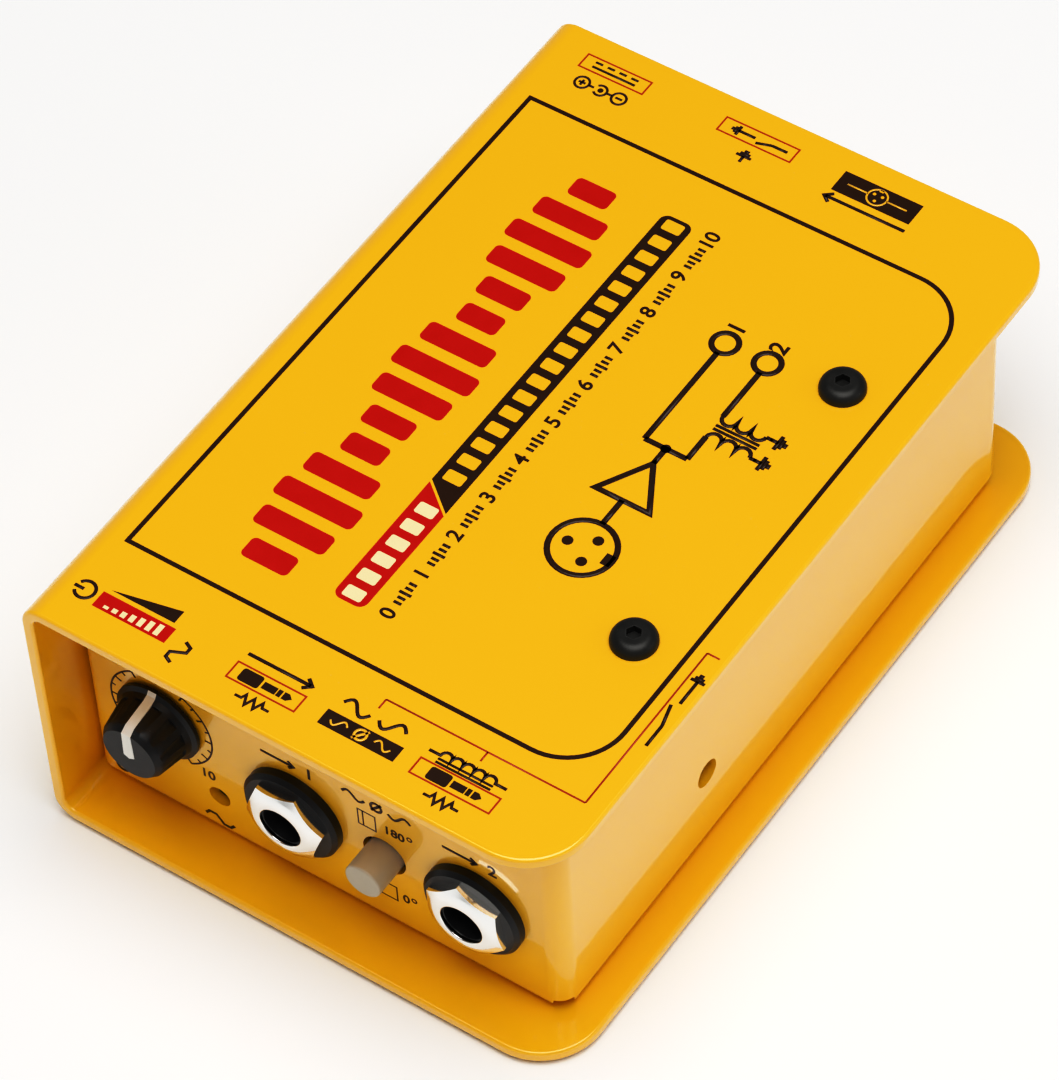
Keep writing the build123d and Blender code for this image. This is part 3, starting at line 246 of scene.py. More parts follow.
def makeDustGroup():
    # a thin scatter of specks that lies on faces looking up
    group, entry, leave = startGroup(
        "dust_specks",
        [("Scale", "NodeSocketFloat", 900.0), ("Amount", "NodeSocketFloat", 0.1)],
        [("Mask", "NodeSocketFloat")],
    )
    coords = addNode(group, "ShaderNodeTexCoord", -900, -300)
    cells = addNode(group, "ShaderNodeTexVoronoi", -600, 0)
    dots = addNode(group, "ShaderNodeMapRange", -400, 0)
    dots.inputs["From Min"].default_value = 0.13
    dots.inputs["From Max"].default_value = 0.04
    patches = addNode(group, "ShaderNodeTexNoise", -600, 300)
    patches.inputs["Scale"].default_value = 180
    rare = addNode(group, "ShaderNodeMapRange", -400, 300)
    rare.inputs["From Min"].default_value = 0.55
    rare.inputs["From Max"].default_value = 0.7
    facing = addNode(group, "ShaderNodeNewGeometry", -600, -300)
    split = addNode(group, "ShaderNodeSeparateXYZ", -400, -300)
    upward = addNode(group, "ShaderNodeMath", -200, -300, operation="MAXIMUM")
    both = addNode(group, "ShaderNodeMath", -100, 100, operation="MULTIPLY")
    lying = addNode(group, "ShaderNodeMath", 100, 0, operation="MULTIPLY")
    amount = addNode(group, "ShaderNodeMath", 300, 0, operation="MULTIPLY")
    for source, target in (
        (coords.outputs["Object"], cells.inputs["Vector"]),
        (entry.outputs["Scale"], cells.inputs["Scale"]),
        (cells.outputs["Distance"], dots.inputs["Value"]),
        (coords.outputs["Object"], patches.inputs["Vector"]),
        (patches.outputs["Fac"], rare.inputs["Value"]),
        (facing.outputs["Normal"], split.inputs[0]),
        (split.outputs["Z"], upward.inputs[0]),
        (dots.outputs[0], both.inputs[0]),
        (rare.outputs[0], both.inputs[1]),
        (both.outputs[0], lying.inputs[0]),
        (upward.outputs[0], lying.inputs[1]),
        (lying.outputs[0], amount.inputs[0]),
        (entry.outputs["Amount"], amount.inputs[1]),
        (amount.outputs[0], leave.inputs["Mask"]),
    ):
        group.links.new(source, target)
    return group


grainGroup = makeGrainGroup()
edgeGroup = makeEdgeGroup()
dustGroup = makeDustGroup()


# finishes

dustColour = (0.75, 0.72, 0.66)


def mixColour(tree, mask, below, above, x, y):
    mix = addNode(tree, "ShaderNodeMix", x, y, data_type="RGBA")
    tree.links.new(mask, mix.inputs["Factor"])
    tree.links.new(below, mix.inputs["A"])
    mix.inputs["B"].default_value = (*above, 1)
    return mix.outputs["Result"]


def startFinish(name, look):
    # a Principled skin with grain, and worn edges and dust where the look asks for them
    material = bpy.data.materials.new(name)
    material.use_nodes = True
    tree = material.node_tree
    skin = tree.nodes["Principled BSDF"]
    for label, value in look.get("shader", {}).items():
        skin.inputs[label].default_value = value
    grain = addNode(tree, "ShaderNodeGroup", -700, 100, node_tree=grainGroup)
    grain.inputs["Colour"].default_value = (*look["colour"], 1)
    grain.inputs["Mottle"].default_value = look["mottle"]
    grain.inputs["Mottle Scale"].default_value = look["mottleScale"]
    grain.inputs["Grain Scale"].default_value = look["grainScale"]
    grain.inputs["Roughness"].default_value = look["roughness"]
    grain.inputs["Gloss Spread"].default_value = look["glossSpread"]
    colour = grain.outputs["Colour"]
    if "edgeColour" in look:
        edge = addNode(tree, "ShaderNodeGroup", -700, 350, node_tree=edgeGroup)
        edge.inputs["Radius"].default_value = look["edgeRadius"]
        edge.inputs["Contrast"].default_value = look["edgeContrast"]
        colour = mixColour(tree, edge.outputs["Mask"], colour, look["edgeColour"], -450, 300)
    if "dust" in look:
        dust = addNode(tree, "ShaderNodeGroup", -700, 550, node_tree=dustGroup)
        dust.inputs["Amount"].default_value = look["dust"]
        colour = mixColour(tree, dust.outputs["Mask"], colour, dustColour, -250, 350)
    tree.links.new(colour, skin.inputs["Base Color"])
    tree.links.new(grain.outputs["Roughness"], skin.inputs["Roughness"])
    bump = addNode(tree, "ShaderNodeBump", -300, -250)
    bump.inputs["Strength"].default_value = look["bump"]
    bump.inputs["Distance"].default_value = look["bumpHeight"]
    tree.links.new(grain.outputs["Height"], bump.inputs["Height"])
    tree.links.new(bump.outputs[0], skin.inputs["Normal"])
    return material, tree, skin, colour, bump


plainLook = {
    "mottle": 0.2, "mottleScale": 300, "grainScale": 2600, "roughness": 0.4,
    "glossSpread": 0.12, "bump": 0.3, "bumpHeight": 0.00003,
}
coated = {"Coat Weight": 0.9, "Coat Roughness": 0.05}
metal = {"Metallic": 1.0}
clear = {"Transmission Weight": 0.6, "IOR": 1.5}
inked = {"Coat Weight": 0.2, "Coat Roughness": 0.12, "Specular IOR Level": 0.3}
looks = {
    "yellow_paint": {
        "colour": (0.89, 0.475, 0.0035), "mottle": 0.03, "mottleScale": 22, "grainScale": 480,
        "roughness": 0.34, "glossSpread": 0.04, "bump": 0.16, "bumpHeight": 0.000012, "dust": 0.12,
        "shader": coated,
    },
    "black_rubber": {
        "colour": (0.018, 0.018, 0.019), "mottle": 0.5, "roughness": 0.85, "bump": 0.9,
        "bumpHeight": 0.00008,
    },
    "black_screw": {
        "colour": (0.04, 0.039, 0.036), "mottle": 0.4, "mottleScale": 500, "roughness": 0.42,
        "glossSpread": 0.2, "edgeColour": (0.13, 0.127, 0.12), "edgeRadius": 0.0003,
        "edgeContrast": 1.5, "dust": 0.3, "shader": {"Metallic": 0.6},
    },
    "zinc_plate": {
        "colour": (0.56, 0.56, 0.54), "grainScale": 1800, "roughness": 0.32, "glossSpread": 0.2,
        "bump": 0.2, "shader": metal,
    },
    "steel_plate": {
        "colour": (0.5, 0.5, 0.5), "roughness": 0.28, "bump": 0.2, "shader": metal,
    },
    "chrome_plate": {
        "colour": (0.84, 0.84, 0.82), "mottle": 0.05, "mottleScale": 400, "grainScale": 900,
        "roughness": 0.12, "glossSpread": 0.10, "bump": 0.08, "bumpHeight": 0.00001,
        "shader": metal,
    },
    "brass_metal": {
        "colour": (0.72, 0.5, 0.2), "grainScale": 1500, "roughness": 0.3, "glossSpread": 0.2,
        "bump": 0.2, "shader": metal,
    },
    "contact_metal": {
        "colour": (0.78, 0.6, 0.3), "mottleScale": 400, "roughness": 0.25, "glossSpread": 0.2,
        "bump": 0.15, "shader": metal,
    },
    "brown_laminate": {
        "colour": (0.18, 0.07, 0.025), "mottle": 0.4, "roughness": 0.5,
    },
    "black_plastic": {
        "colour": (0.016, 0.016, 0.017), "mottle": 0.3, "grainScale": 4200, "roughness": 0.45,
        "bump": 0.4, "edgeColour": (0.04, 0.04, 0.04), "edgeRadius": 0.0002, "edgeContrast": 1.0,
    },
    "black_metal": {
        "colour": (0.014, 0.014, 0.015), "mottle": 0.25, "grainScale": 2000, "bump": 0.45,
        "edgeColour": (0.09, 0.09, 0.09), "edgeRadius": 0.0003, "edgeContrast": 1.0, "dust": 0.2,
    },
    "bezel_black": {
        "colour": (0.011, 0.011, 0.012), "mottle": 0.3, "grainScale": 3200, "roughness": 0.38,
        "bump": 0.35, "edgeColour": (0.03, 0.03, 0.03), "edgeRadius": 0.0003, "edgeContrast": 1.2,
        "dust": 0.2,
    },
    "knob_black": {
        "colour": (0.008, 0.008, 0.009), "mottle": 0.3, "grainScale": 3600, "roughness": 0.42,
        "bump": 0.4, "edgeColour": (0.03, 0.03, 0.032), "edgeRadius": 0.0003, "edgeContrast": 1.2,
        "dust": 0.25,
    },
    "pointer_white": {
        "colour": (0.80, 0.78, 0.72), "mottle": 0.1, "mottleScale": 700, "grainScale": 3600,
        "roughness": 0.45,
    },
    "white_plastic": {
        "colour": (0.72, 0.71, 0.67), "mottle": 0.1, "grainScale": 3600, "roughness": 0.45,
    },
    "button_grey": {
        "colour": (0.48, 0.42, 0.33), "mottle": 0.12, "mottleScale": 500, "grainScale": 3800,
        "roughness": 0.42, "glossSpread": 0.1, "bump": 0.4, "edgeColour": (0.6, 0.55, 0.46),
        "edgeRadius": 0.0002, "edgeContrast": 0.8,
    },
    "can_sleeve": {
        "colour": (0.02, 0.03, 0.07), "grainScale": 900, "roughness": 0.28,
    },
    "film_red": {
        "colour": (0.42, 0.045, 0.035), "grainScale": 900, "roughness": 0.25, "shader": coated,
    },
    "resistor_blue": {
        "colour": (0.12, 0.32, 0.5), "mottleScale": 500, "grainScale": 1800, "roughness": 0.3,
    },
    "lamp_green": {
        "colour": (0.16, 0.5, 0.2), "mottle": 0.1, "grainScale": 900, "roughness": 0.15,
        "glossSpread": 0.05, "bump": 0.1, "shader": clear,
    },
    # the red lamp's lens is darker than its own dark red so that the clip hole round it reads dark: partly
    # the lamp's colour, partly painted shade of the hole
    "lamp_red": {
        "colour": (0.12, 0.03, 0.02), "mottle": 0.1, "grainScale": 900, "roughness": 0.15,
        "glossSpread": 0.05, "bump": 0.1, "shader": clear,
    },
    "ink_black": {
        "colour": (0.040, 0.013, 0.003), "mottleScale": 700, "roughness": 0.4, "shader": inked,
    },
    "ink_red": {
        "colour": (0.50, 0.006, 0.002), "mottle": 0.1, "roughness": 0.35, "shader": inked,
    },
    "ink_line_red": {
        "colour": (0.42, 0.045, 0.003), "mottleScale": 600, "roughness": 0.35, "shader": inked,
    },
    "ink_cream": {
        "colour": (0.86, 0.70, 0.40), "mottle": 0.1, "roughness": 0.4, "shader": inked,
    },
}


def makeBoardGreen():
    look = {
        **plainLook, "colour": (0.010, 0.11, 0.032), "mottleScale": 90, "grainScale": 1400,
        "roughness": 0.35, "shader": {"Coat Weight": 0.4, "Coat Roughness": 0.15},
    }
    material, tree, skin, colour, bump = startFinish("board_green", look)
    coords = addNode(tree, "ShaderNodeTexCoord", -1200, -500)
    tracks = addNode(tree, "ShaderNodeTexBrick", -950, -500, offset=0.37, squash=0.7, squash_frequency=3)
    tracks.inputs["Scale"].default_value = 260
    tracks.inputs["Mortar Size"].default_value = 0.035
    tracks.inputs["Mortar Smooth"].default_value = 0.1
    tree.links.new(coords.outputs["Object"], tracks.inputs["Vector"])
    lit = mixColour(tree, tracks.outputs["Fac"], colour, (0.03, 0.26, 0.08), -150, 500)
    tree.links.new(lit, skin.inputs["Base Color"])
    return material


def makeBanded(name, look, direction, scale, dark):
    # thin bands side by side, such as stacked sheets or wound tape
    material, tree, skin, colour, bump = startFinish(name, {**plainLook, **look})
    coords = addNode(tree, "ShaderNodeTexCoord", -1200, -500)
    bands = addNode(tree, "ShaderNodeTexWave", -950, -500, bands_direction=direction)
    bands.inputs["Scale"].default_value = scale
    bands.inputs["Distortion"].default_value = 0.2
    tree.links.new(coords.outputs["Object"], bands.inputs["Vector"])
    line = addNode(tree, "ShaderNodeMapRange", -700, -500)
    line.inputs["From Min"].default_value = 0.25
    line.inputs["From Max"].default_value = 0.05
    tree.links.new(bands.outputs["Fac"], line.inputs["Value"])
    tree.links.new(mixColour(tree, line.outputs[0], colour, dark, -150, 500), skin.inputs["Base Color"])
    step = addNode(tree, "ShaderNodeBump", -120, -300, invert=True)
    step.inputs["Strength"].default_value = 0.5
    step.inputs["Distance"].default_value = 0.00005
    tree.links.new(line.outputs[0], step.inputs["Height"])
    tree.links.new(bump.outputs[0], step.inputs["Normal"])
    tree.links.new(step.outputs[0], skin.inputs["Normal"])
    return material


finishes = {name: startFinish(name, {**plainLook, **look})[0] for name, look in looks.items()}
finishes["board_green"] = makeBoardGreen()
coreLook = {"colour": (0.26, 0.26, 0.27), "roughness": 0.4, "shader": metal}
tapeLook = {"colour": (0.72, 0.50, 0.08), "roughness": 0.25, "shader": coated}
finishes["core_steel"] = makeBanded("core_steel", coreLook, "Y", 900, (0.05, 0.05, 0.05))
finishes["winding_tape"] = makeBanded("winding_tape", tapeLook, "Z", 120, (0.40, 0.24, 0.03))

slots = {row["node"]: row["material_slot"] for row in frame["record"]["subparts"]}
shading = {"weld": 1e-6, "crease": 28, "weight": 80}
for name, node in nodes.items():
    node.data.materials.clear()
    node.data.materials.append(finishes[slots[name]])
    for face in node.data.polygons:
        face.use_smooth = True
    node.modifiers.new("weld", "WELD").merge_threshold = shading["weld"]
    node.modifiers.new("crease", "EDGE_SPLIT").split_angle = math.radians(shading["crease"])
    node.modifiers.new("even", "WEIGHTED_NORMAL").weight = shading["weight"]
print("finishes made,", len(finishes))


# printed graphics: drawn flat in millimetres, then laid on a face

inkSet = {"sink": 0.03, "proud": 0.03, "overprint": 0.02, "bold": 0.03, "capital": 0.7, "merge": 0.0005}


def onTop(u=0, v=0, turn=0):
    # the top plate, u to the right and v away from the front edge
    return Matrix.Translation((0, 0, highest("outer_shell").z * mm)) @ Matrix.Scale(mm, 4) @ spot(u, v, turn)


def onFront(u=0, v=0, turn=0):
    # the front panel, u to the right and v up
    face = Matrix.Translation((0, lowest("inner_chassis").y * mm, 0))
    upright = Matrix.Rotation(math.radians(90), 4, "X")
    return face @ upright @ Matrix.Scale(mm, 4) @ spot(u, v, turn)


def spot(u, v, turn=0):
    return Matrix.Translation((u, v, 0)) @ Matrix.Rotation(math.radians(turn), 4, "Z")


def newSheet():
    return {"patches": [], "fills": [], "lines": [], "numerals": []}


def arc(u, v, radius, start=0, sweep=360, steps=24):
    turns = [math.radians(start + sweep * i / steps) for i in range(steps + (sweep < 360))]
    return [(u + radius * math.cos(t), v + radius * math.sin(t)) for t in turns]


def line(sheet, points, width=0.35, closed=False):
    sheet["lines"].append({"points": points, "width": width, "closed": closed})


def put(sheet, mark, u, v, turn=0):
    # copies a mark into a sheet, moved and turned
    place = spot(u, v, turn)

    def moved(points):
        return [tuple((place @ Vector((x, y, 0))).xy) for x, y in points]

    sheet["fills"] += [moved(outline) for outline in mark["fills"]]
    sheet["lines"] += [{**run, "points": moved(run["points"])} for run in mark["lines"]]
    for patch in mark["patches"]:
        sheet["patches"].append({**patch, "at": moved([patch["at"]])[0], "turn": patch["turn"] + turn})
    for numeral in mark["numerals"]:
        sheet["numerals"].append({**numeral, "at": moved([numeral["at"]])[0], "turn": numeral["turn"] + turn})


def patch(sheet, u, v, width, height, corner=0, hollow=0, turn=0):
    sheet["patches"].append(
        {"at": (u, v), "size": (width, height), "corner": corner, "hollow": hollow, "turn": turn}
    )


def numeral(sheet, text, u, v, height, turn=0):
    sheet["numerals"].append({"text": text, "at": (u, v), "height": height, "turn": turn})


def selectOnly(chosen):
    bpy.ops.object.select_all(action="DESELECT")
    for obj in chosen:
        obj.select_set(True)
    bpy.context.view_layer.objects.active = chosen[0]


def makePatch(values, thick):
    # a flat rectangle with rounded corners, hollow where only its outline is printed
    width, height = values["size"]
    bpy.ops.object.select_all(action="DESELECT")
    bpy.ops.mesh.primitive_plane_add(size=1)
    flat = bpy.context.object
    flat.scale = (width, height, 1)
    bpy.ops.object.transform_apply(location=False, rotation=False, scale=True)
    bpy.ops.object.mode_set(mode="EDIT")
    bpy.ops.mesh.select_all(action="SELECT")
    if values["corner"]:
        bpy.ops.mesh.bevel(offset=values["corner"], segments=6, affect="VERTICES")
        bpy.ops.mesh.select_all(action="SELECT")
    if values["hollow"]:
        bpy.ops.mesh.inset(thickness=values["hollow"])
        bpy.ops.mesh.delete(type="FACE")
        bpy.ops.mesh.select_all(action="SELECT")
    bpy.ops.transform.translate(value=(0, 0, -thick / 2))
    bpy.ops.mesh.extrude_region_move(TRANSFORM_OT_translate={"value": (0, 0, thick)})
    bpy.ops.object.mode_set(mode="OBJECT")
    return flat


def addRun(curve, points, closed):
    run = curve.splines.new("POLY")
    run.points.add(len(points) - 1)
    for point, (x, y) in zip(run.points, points):
        point.co = (x, y, 0, 1)
    run.use_cyclic_u = closed


def linkCurve(name):
    curve = bpy.data.curves.new(name, "CURVE")
    curve.dimensions = "2D"
    obj = bpy.data.objects.new(name, curve)
    bpy.context.scene.collection.objects.link(obj)
    return curve, obj


def makeNib(width, thick):
    curve, nib = linkCurve("nib")
    u, v = width / 2, thick / 2
    addRun(curve, [(-u, -v), (u, -v), (u, v), (-u, v)], True)
    curve.fill_mode = "NONE"
    return nib


def layInk(name, ink, sheet, place, lift=0):
    thick = inkSet["proud"] + inkSet["sink"]
    parts, copies, nibs = [], {}, []
    for values in sheet["patches"]:
        key = (values["size"], values["corner"], values["hollow"])
        if key in copies:
            flat = copies[key].copy()
            flat.data = copies[key].data.copy()
            bpy.context.scene.collection.objects.link(flat)
        else:
            flat = makePatch(values, thick)
            copies[key] = flat
        flat.matrix_world = spot(*values["at"], values["turn"])
        parts.append(flat)
    if sheet["fills"]:
        curve, obj = linkCurve(name)
        curve.fill_mode = "BOTH"
        curve.extrude = thick / 2
        for outline in sheet["fills"]:
            addRun(curve, outline, True)
        parts.append(obj)
    for width in sorted({run["width"] for run in sheet["lines"]}):
        curve, obj = linkCurve(name)
        curve.fill_mode = "NONE"
        curve.bevel_mode = "OBJECT"
        nibs.append(makeNib(width, thick))
        curve.bevel_object = nibs[-1]
        curve.use_fill_caps = True
        for run in sheet["lines"]:
            if run["width"] == width:
                addRun(curve, run["points"], run["closed"])
        parts.append(obj)
    for values in sheet["numerals"]:
        bpy.ops.object.text_add()
        text = bpy.context.object
        text.data.body = values["text"]
        text.data.size = values["height"] / inkSet["capital"]
        text.data.offset = inkSet["bold"] * values["height"]
        text.data.extrude = thick / 2
        text.data.align_x = "CENTER"
        text.data.align_y = "CENTER"
        text.matrix_world = spot(*values["at"], values["turn"])
        parts.append(text)
    selectOnly(parts)
    bpy.ops.object.convert(target="MESH")
    bpy.ops.object.transform_apply(location=True, rotation=True, scale=True)
    if len(parts) > 1:
        bpy.ops.object.join()
    piece = bpy.context.object
    for nib in nibs:
        bpy.data.objects.remove(nib)
    bpy.ops.object.mode_set(mode="EDIT")
    bpy.ops.mesh.select_all(action="SELECT")
    bpy.ops.mesh.remove_doubles(threshold=inkSet["merge"])
    bpy.ops.mesh.normals_make_consistent(inside=False)
    bpy.ops.object.mode_set(mode="OBJECT")
    piece.data.transform(place @ Matrix.Translation((0, 0, (inkSet["proud"] - inkSet["sink"]) / 2 + lift)))
    piece.name = name
    piece.data.name = name
    piece.data.materials.clear()
    piece.data.materials.append(finishes[ink])
    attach(piece, "case")


# marks: plain electrical and level symbols, each drawn round its own middle

def arrowMark(length, head=1.1, width=0.54):
    mark = newSheet()
    line(mark, [(-length / 2, 0), (length / 2 - 0.2, 0)], width)
    line(mark, [(length / 2 - head, head * 0.8), (length / 2, 0), (length / 2 - head, -head * 0.8)], width)
    return mark


def waveMark(length, height, cycles=1, flip=1, width=0.5):
    mark = newSheet()
    steps = 14 * cycles
    line(mark, [
        (length * (i / steps - 0.5), flip * height / 2 * math.sin(math.tau * cycles * i / steps))
        for i in range(steps + 1)
    ], width)
    return mark


def clippedMark(length, height, width=0.5):
    # a wave with its top and bottom cut flat
    mark = newSheet()
    shares = [(-0.5, -0.1), (-0.36, 1), (-0.12, 1), (0.12, -1), (0.36, -1), (0.5, 0.1)]
    line(mark, [(length * u, height / 2 * v) for u, v in shares], width)
    return mark


def coilMark(length, humps=4, radius=0.85, width=0.46):
    # a coil over the two lines of its core
    mark = newSheet()
    half = humps * radius
    points = [(-length / 2, 0)]
    for i in range(humps):
        points += arc(-half + radius * (2 * i + 1), 0, radius, 180, -180, 8)
    line(mark, points + [(length / 2, 0)], width)
    for drop in (0.55, 1.15):
        line(mark, [(-half, -drop), (half, -drop)], width * 0.8)
    return mark


def zigzagMark(length, height, teeth=5, width=0.4):
    mark = newSheet()
    run = length * 0.62
    points = [(-length / 2, 0), (-run / 2, 0)]
    for i in range(teeth):
        points.append((-run / 2 + run * (i + 0.5) / teeth, height / 2 * (-1) ** i))
    line(mark, points + [(run / 2, 0), (length / 2, 0)], width)
    return mark


def groundMark(size, width=0.46):
    mark = newSheet()
    line(mark, [(0, size / 2), (0, 0)], width)
    for i in range(3):
        half = size / 2 * (1 - 0.34 * i)
        line(mark, [(-half, -i * size / 5), (half, -i * size / 5)], width)
    return mark


def liftMark(length, size=2.0, width=0.48):
    # an open switch arm that ends in earth bars
    mark = newSheet()
    start = -length / 2
    line(mark, [(start, 0), (start + length * 0.26, 0)], width)
    line(mark, [(start + length * 0.26, 0), (start + length * 0.50, size * 0.42)], width)
    line(mark, [(start + length * 0.55, 0), (start + length * 0.84, 0)], width)
    for i in range(3):
        half = size / 2 * (1 - 0.34 * i)
        u = start + length * 0.84 + i * size / 4.2
        line(mark, [(u, -half), (u, half)], width)
    return mark


def powerMark(radius, width=0.5):
    mark = newSheet()
    line(mark, arc(0, 0, radius, 120, 300, 20), width)
    line(mark, [(0, radius * 0.15), (0, radius * 1.2)], width)
    return mark


def phaseMark(radius, width=0.38):
    mark = newSheet()
    line(mark, arc(0, 0, radius), width, True)
    line(mark, [(-radius, -radius * 1.15), (radius, radius * 1.15)], width)
    return mark


def plugMark(length, height):
    # side view of a jack plug: barrel, sleeve, ring gap and tip
    mark = newSheet()
    patch(mark, -length * 0.30, 0, length * 0.40, height, height * 0.2)
    patch(mark, length * 0.07, 0, length * 0.26, height * 0.55)
    patch(mark, length * 0.26, 0, length * 0.08, height * 0.55)
    mark["fills"].append([
        (length * 0.33, height * 0.28), (length * 0.42, height * 0.28), (length * 0.5, 0),
        (length * 0.42, -height * 0.28), (length * 0.33, -height * 0.28),
    ])
    return mark


def threePinMark(radius, width=0.36):
    mark = newSheet()
    line(mark, arc(0, 0, radius, steps=32), width, True)
    for turn in (90, 210, 330):
        u, v = arc(0, 0, radius * 0.5, turn, 0, 1)[0]
        mark["fills"].append(arc(u, v, radius * 0.17, steps=14))
    patch(mark, 0, -radius * 0.86, radius * 0.42, radius * 0.3)
    return mark


def barrelMark(length, radius, width=0.38):
    # centre pin and shell of a power plug between their minus and plus signs
    mark = newSheet()
    line(mark, arc(0, 0, radius * 0.9, 40, 280), width)
    mark["fills"].append(arc(0, 0, radius * 0.4, steps=14))
    for side in (-1, 1):
        line(mark, arc(side * (length / 2 - radius), 0, radius), width, True)
        line(mark, [(side * radius, 0), (side * (length / 2 - 2 * radius), 0)], width)
        ring = side * (length / 2 - radius)
        line(mark, [(ring - radius / 2, 0), (ring + radius / 2, 0)], width)
    line(mark, [(length / 2 - radius, -radius / 2), (length / 2 - radius, radius / 2)], width)
    return mark


def wedgeMark(length, height):
    mark = newSheet()
    mark["fills"].append([(-length / 2, -height / 2), (length / 2, -height / 2), (length / 2, height / 2)])
    return mark


def stepsMark(count, pitch, width, low, high):
    # bars that rise from left to right
    mark = newSheet()
    for i in range(count):
        tall = low + (high - low) * i / (count - 1)
        patch(mark, (i - (count - 1) / 2) * pitch, (tall - high) / 2, width, tall)
    return mark


# top plate: border, level bars, meter strip, scale and signal diagram

plate = {
    "left": lowest("outer_shell").x, "front": lowest("outer_shell").y,
    "right": highest("outer_shell").x, "rear": highest("outer_shell").y,
}


def printBorder():
    border = {"left": 5.4, "right": 4.7, "front": 16.1, "rear": 15.2, "line": 0.68, "corner": 9.0}
    thick = inkSet["proud"] + inkSet["sink"]
    width = plate["right"] - plate["left"] - border["left"] - border["right"]
    height = plate["rear"] - plate["front"] - border["front"] - border["rear"]
    bpy.ops.object.select_all(action="DESELECT")
    bpy.ops.mesh.primitive_plane_add(size=1)
    flat = bpy.context.object
    flat.name = "border_line"
    flat.scale = (width, height, 1)
    bpy.ops.object.transform_apply(location=False, rotation=False, scale=True)
    bpy.ops.object.mode_set(mode="EDIT")
    bpy.ops.mesh.select_all(action="DESELECT")
    bpy.ops.object.mode_set(mode="OBJECT")
    for vertex in flat.data.vertices:
        vertex.select = vertex.co.x > 0
    bpy.ops.object.mode_set(mode="EDIT")
    bpy.ops.mesh.bevel(offset=border["corner"], segments=14, affect="VERTICES")
    bpy.ops.mesh.select_all(action="SELECT")
    bpy.ops.mesh.inset(thickness=border["line"])
    bpy.ops.mesh.delete(type="FACE")
    bpy.ops.mesh.select_all(action="SELECT")
    bpy.ops.transform.translate(value=(0, 0, -inkSet["sink"]))
    bpy.ops.mesh.extrude_region_move(TRANSFORM_OT_translate={"value": (0, 0, thick)})
    bpy.ops.mesh.select_all(action="SELECT")
    bpy.ops.mesh.normals_make_consistent(inside=False)
    bpy.ops.object.mode_set(mode="OBJECT")
    centre = (plate["left"] + border["left"] + width / 2, plate["front"] + border["front"] + height / 2)
    flat.data.transform(onTop(*centre))
    flat.data.materials.append(finishes["ink_black"])
    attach(flat, "case")


def printLevelBars():
    bars = {"count": 15, "wide": 3.5, "tall": 12.9, "low": 0.34, "swells": 3, "across": 23.35, "start": 22.5,
            "length": 80.0, "corner": 0.8}
    sheet = newSheet()
    pitch = (bars["length"] - bars["wide"]) / (bars["count"] - 1)
    for i in range(bars["count"]):
        swell = abs(math.sin(math.pi * bars["swells"] * (i + 0.6) / bars["count"]))
        tall = bars["tall"] * (bars["low"] + (1 - bars["low"]) * swell)
        patch(sheet, 0, bars["wide"] / 2 + i * pitch, tall, bars["wide"], bars["corner"])
    place = onTop(plate["left"] + bars["across"], plate["front"] + bars["start"])
    layInk("level_bars", "ink_red", sheet, place)


def printMeterStrip():
    strip = {"across": 36.4, "start": 23.5, "length": 79.5, "wide": 5.0, "split": 20.6, "slant": 2.0,
             "gap": 0.5, "steps": 24, "stepWide": 2.0, "stepTall": 3.0, "stepCorner": 0.35, "clear": 0.9,
             "corner": 1.3}
    half = strip["wide"] / 2
    corner = strip["corner"]
    end = strip["length"]
    left, right = strip["split"] + strip["slant"], strip["split"] - strip["slant"]
    red, black = newSheet(), newSheet()
    red["fills"].append(
        arc(-half + corner, corner, corner, 180, 90, 6) + arc(half - corner, corner, corner, 270, 90, 6)
        + [(half, right), (-half, left)]
    )
    black["fills"].append(
        [(-half, left + strip["gap"]), (half, right + strip["gap"])]
        + arc(half - corner, end - corner, corner, 0, 90, 6)
        + arc(-half + corner, end - corner, corner, 90, 90, 6)
    )
    place = onTop(plate["left"] + strip["across"], plate["front"] + strip["start"])
    layInk("meter_strip_red", "ink_red", red, place)
    layInk("meter_strip_black", "ink_black", black, place)
    cream, yellow = newSheet(), newSheet()
    pitch = strip["length"] / strip["steps"]
    for i in range(strip["steps"]):
        along = pitch * (i + 0.5)
        if abs(along - strip["split"]) < strip["slant"] * strip["clear"]:
            continue
        sheet = cream if along < strip["split"] else yellow
        patch(sheet, 0, along, strip["stepTall"], strip["stepWide"], strip["stepCorner"])
    layInk("meter_steps_low", "ink_cream", cream, place, inkSet["overprint"])
    layInk("meter_steps_high", "yellow_paint", yellow, place, inkSet["overprint"])


def printLevelScale():
    scale = {"across": 42.1, "start": 24.8, "length": 77.2, "count": 10, "numeral": 2.2, "ticks": 5,
             "tickStart": 0.27, "tickSpan": 0.46, "tickHalf": 0.6, "middleHalf": 0.95, "line": 0.46}
    sheet = newSheet()
    pitch = scale["length"] / scale["count"]
    for i in range(scale["count"] + 1):
        numeral(sheet, str(i), 0, i * pitch, scale["numeral"], 90)
        if i == scale["count"]:
            break
        for k in range(scale["ticks"]):
            share = k / (scale["ticks"] - 1)
            along = i * pitch + pitch * (scale["tickStart"] + scale["tickSpan"] * share)
            half = scale["middleHalf"] if k == scale["ticks"] // 2 else scale["tickHalf"]
            line(sheet, [(-half, along), (half, along)], scale["line"])
    place = onTop(plate["left"] + scale["across"], plate["front"] + scale["start"])
    layInk("level_scale", "ink_black", sheet, place)


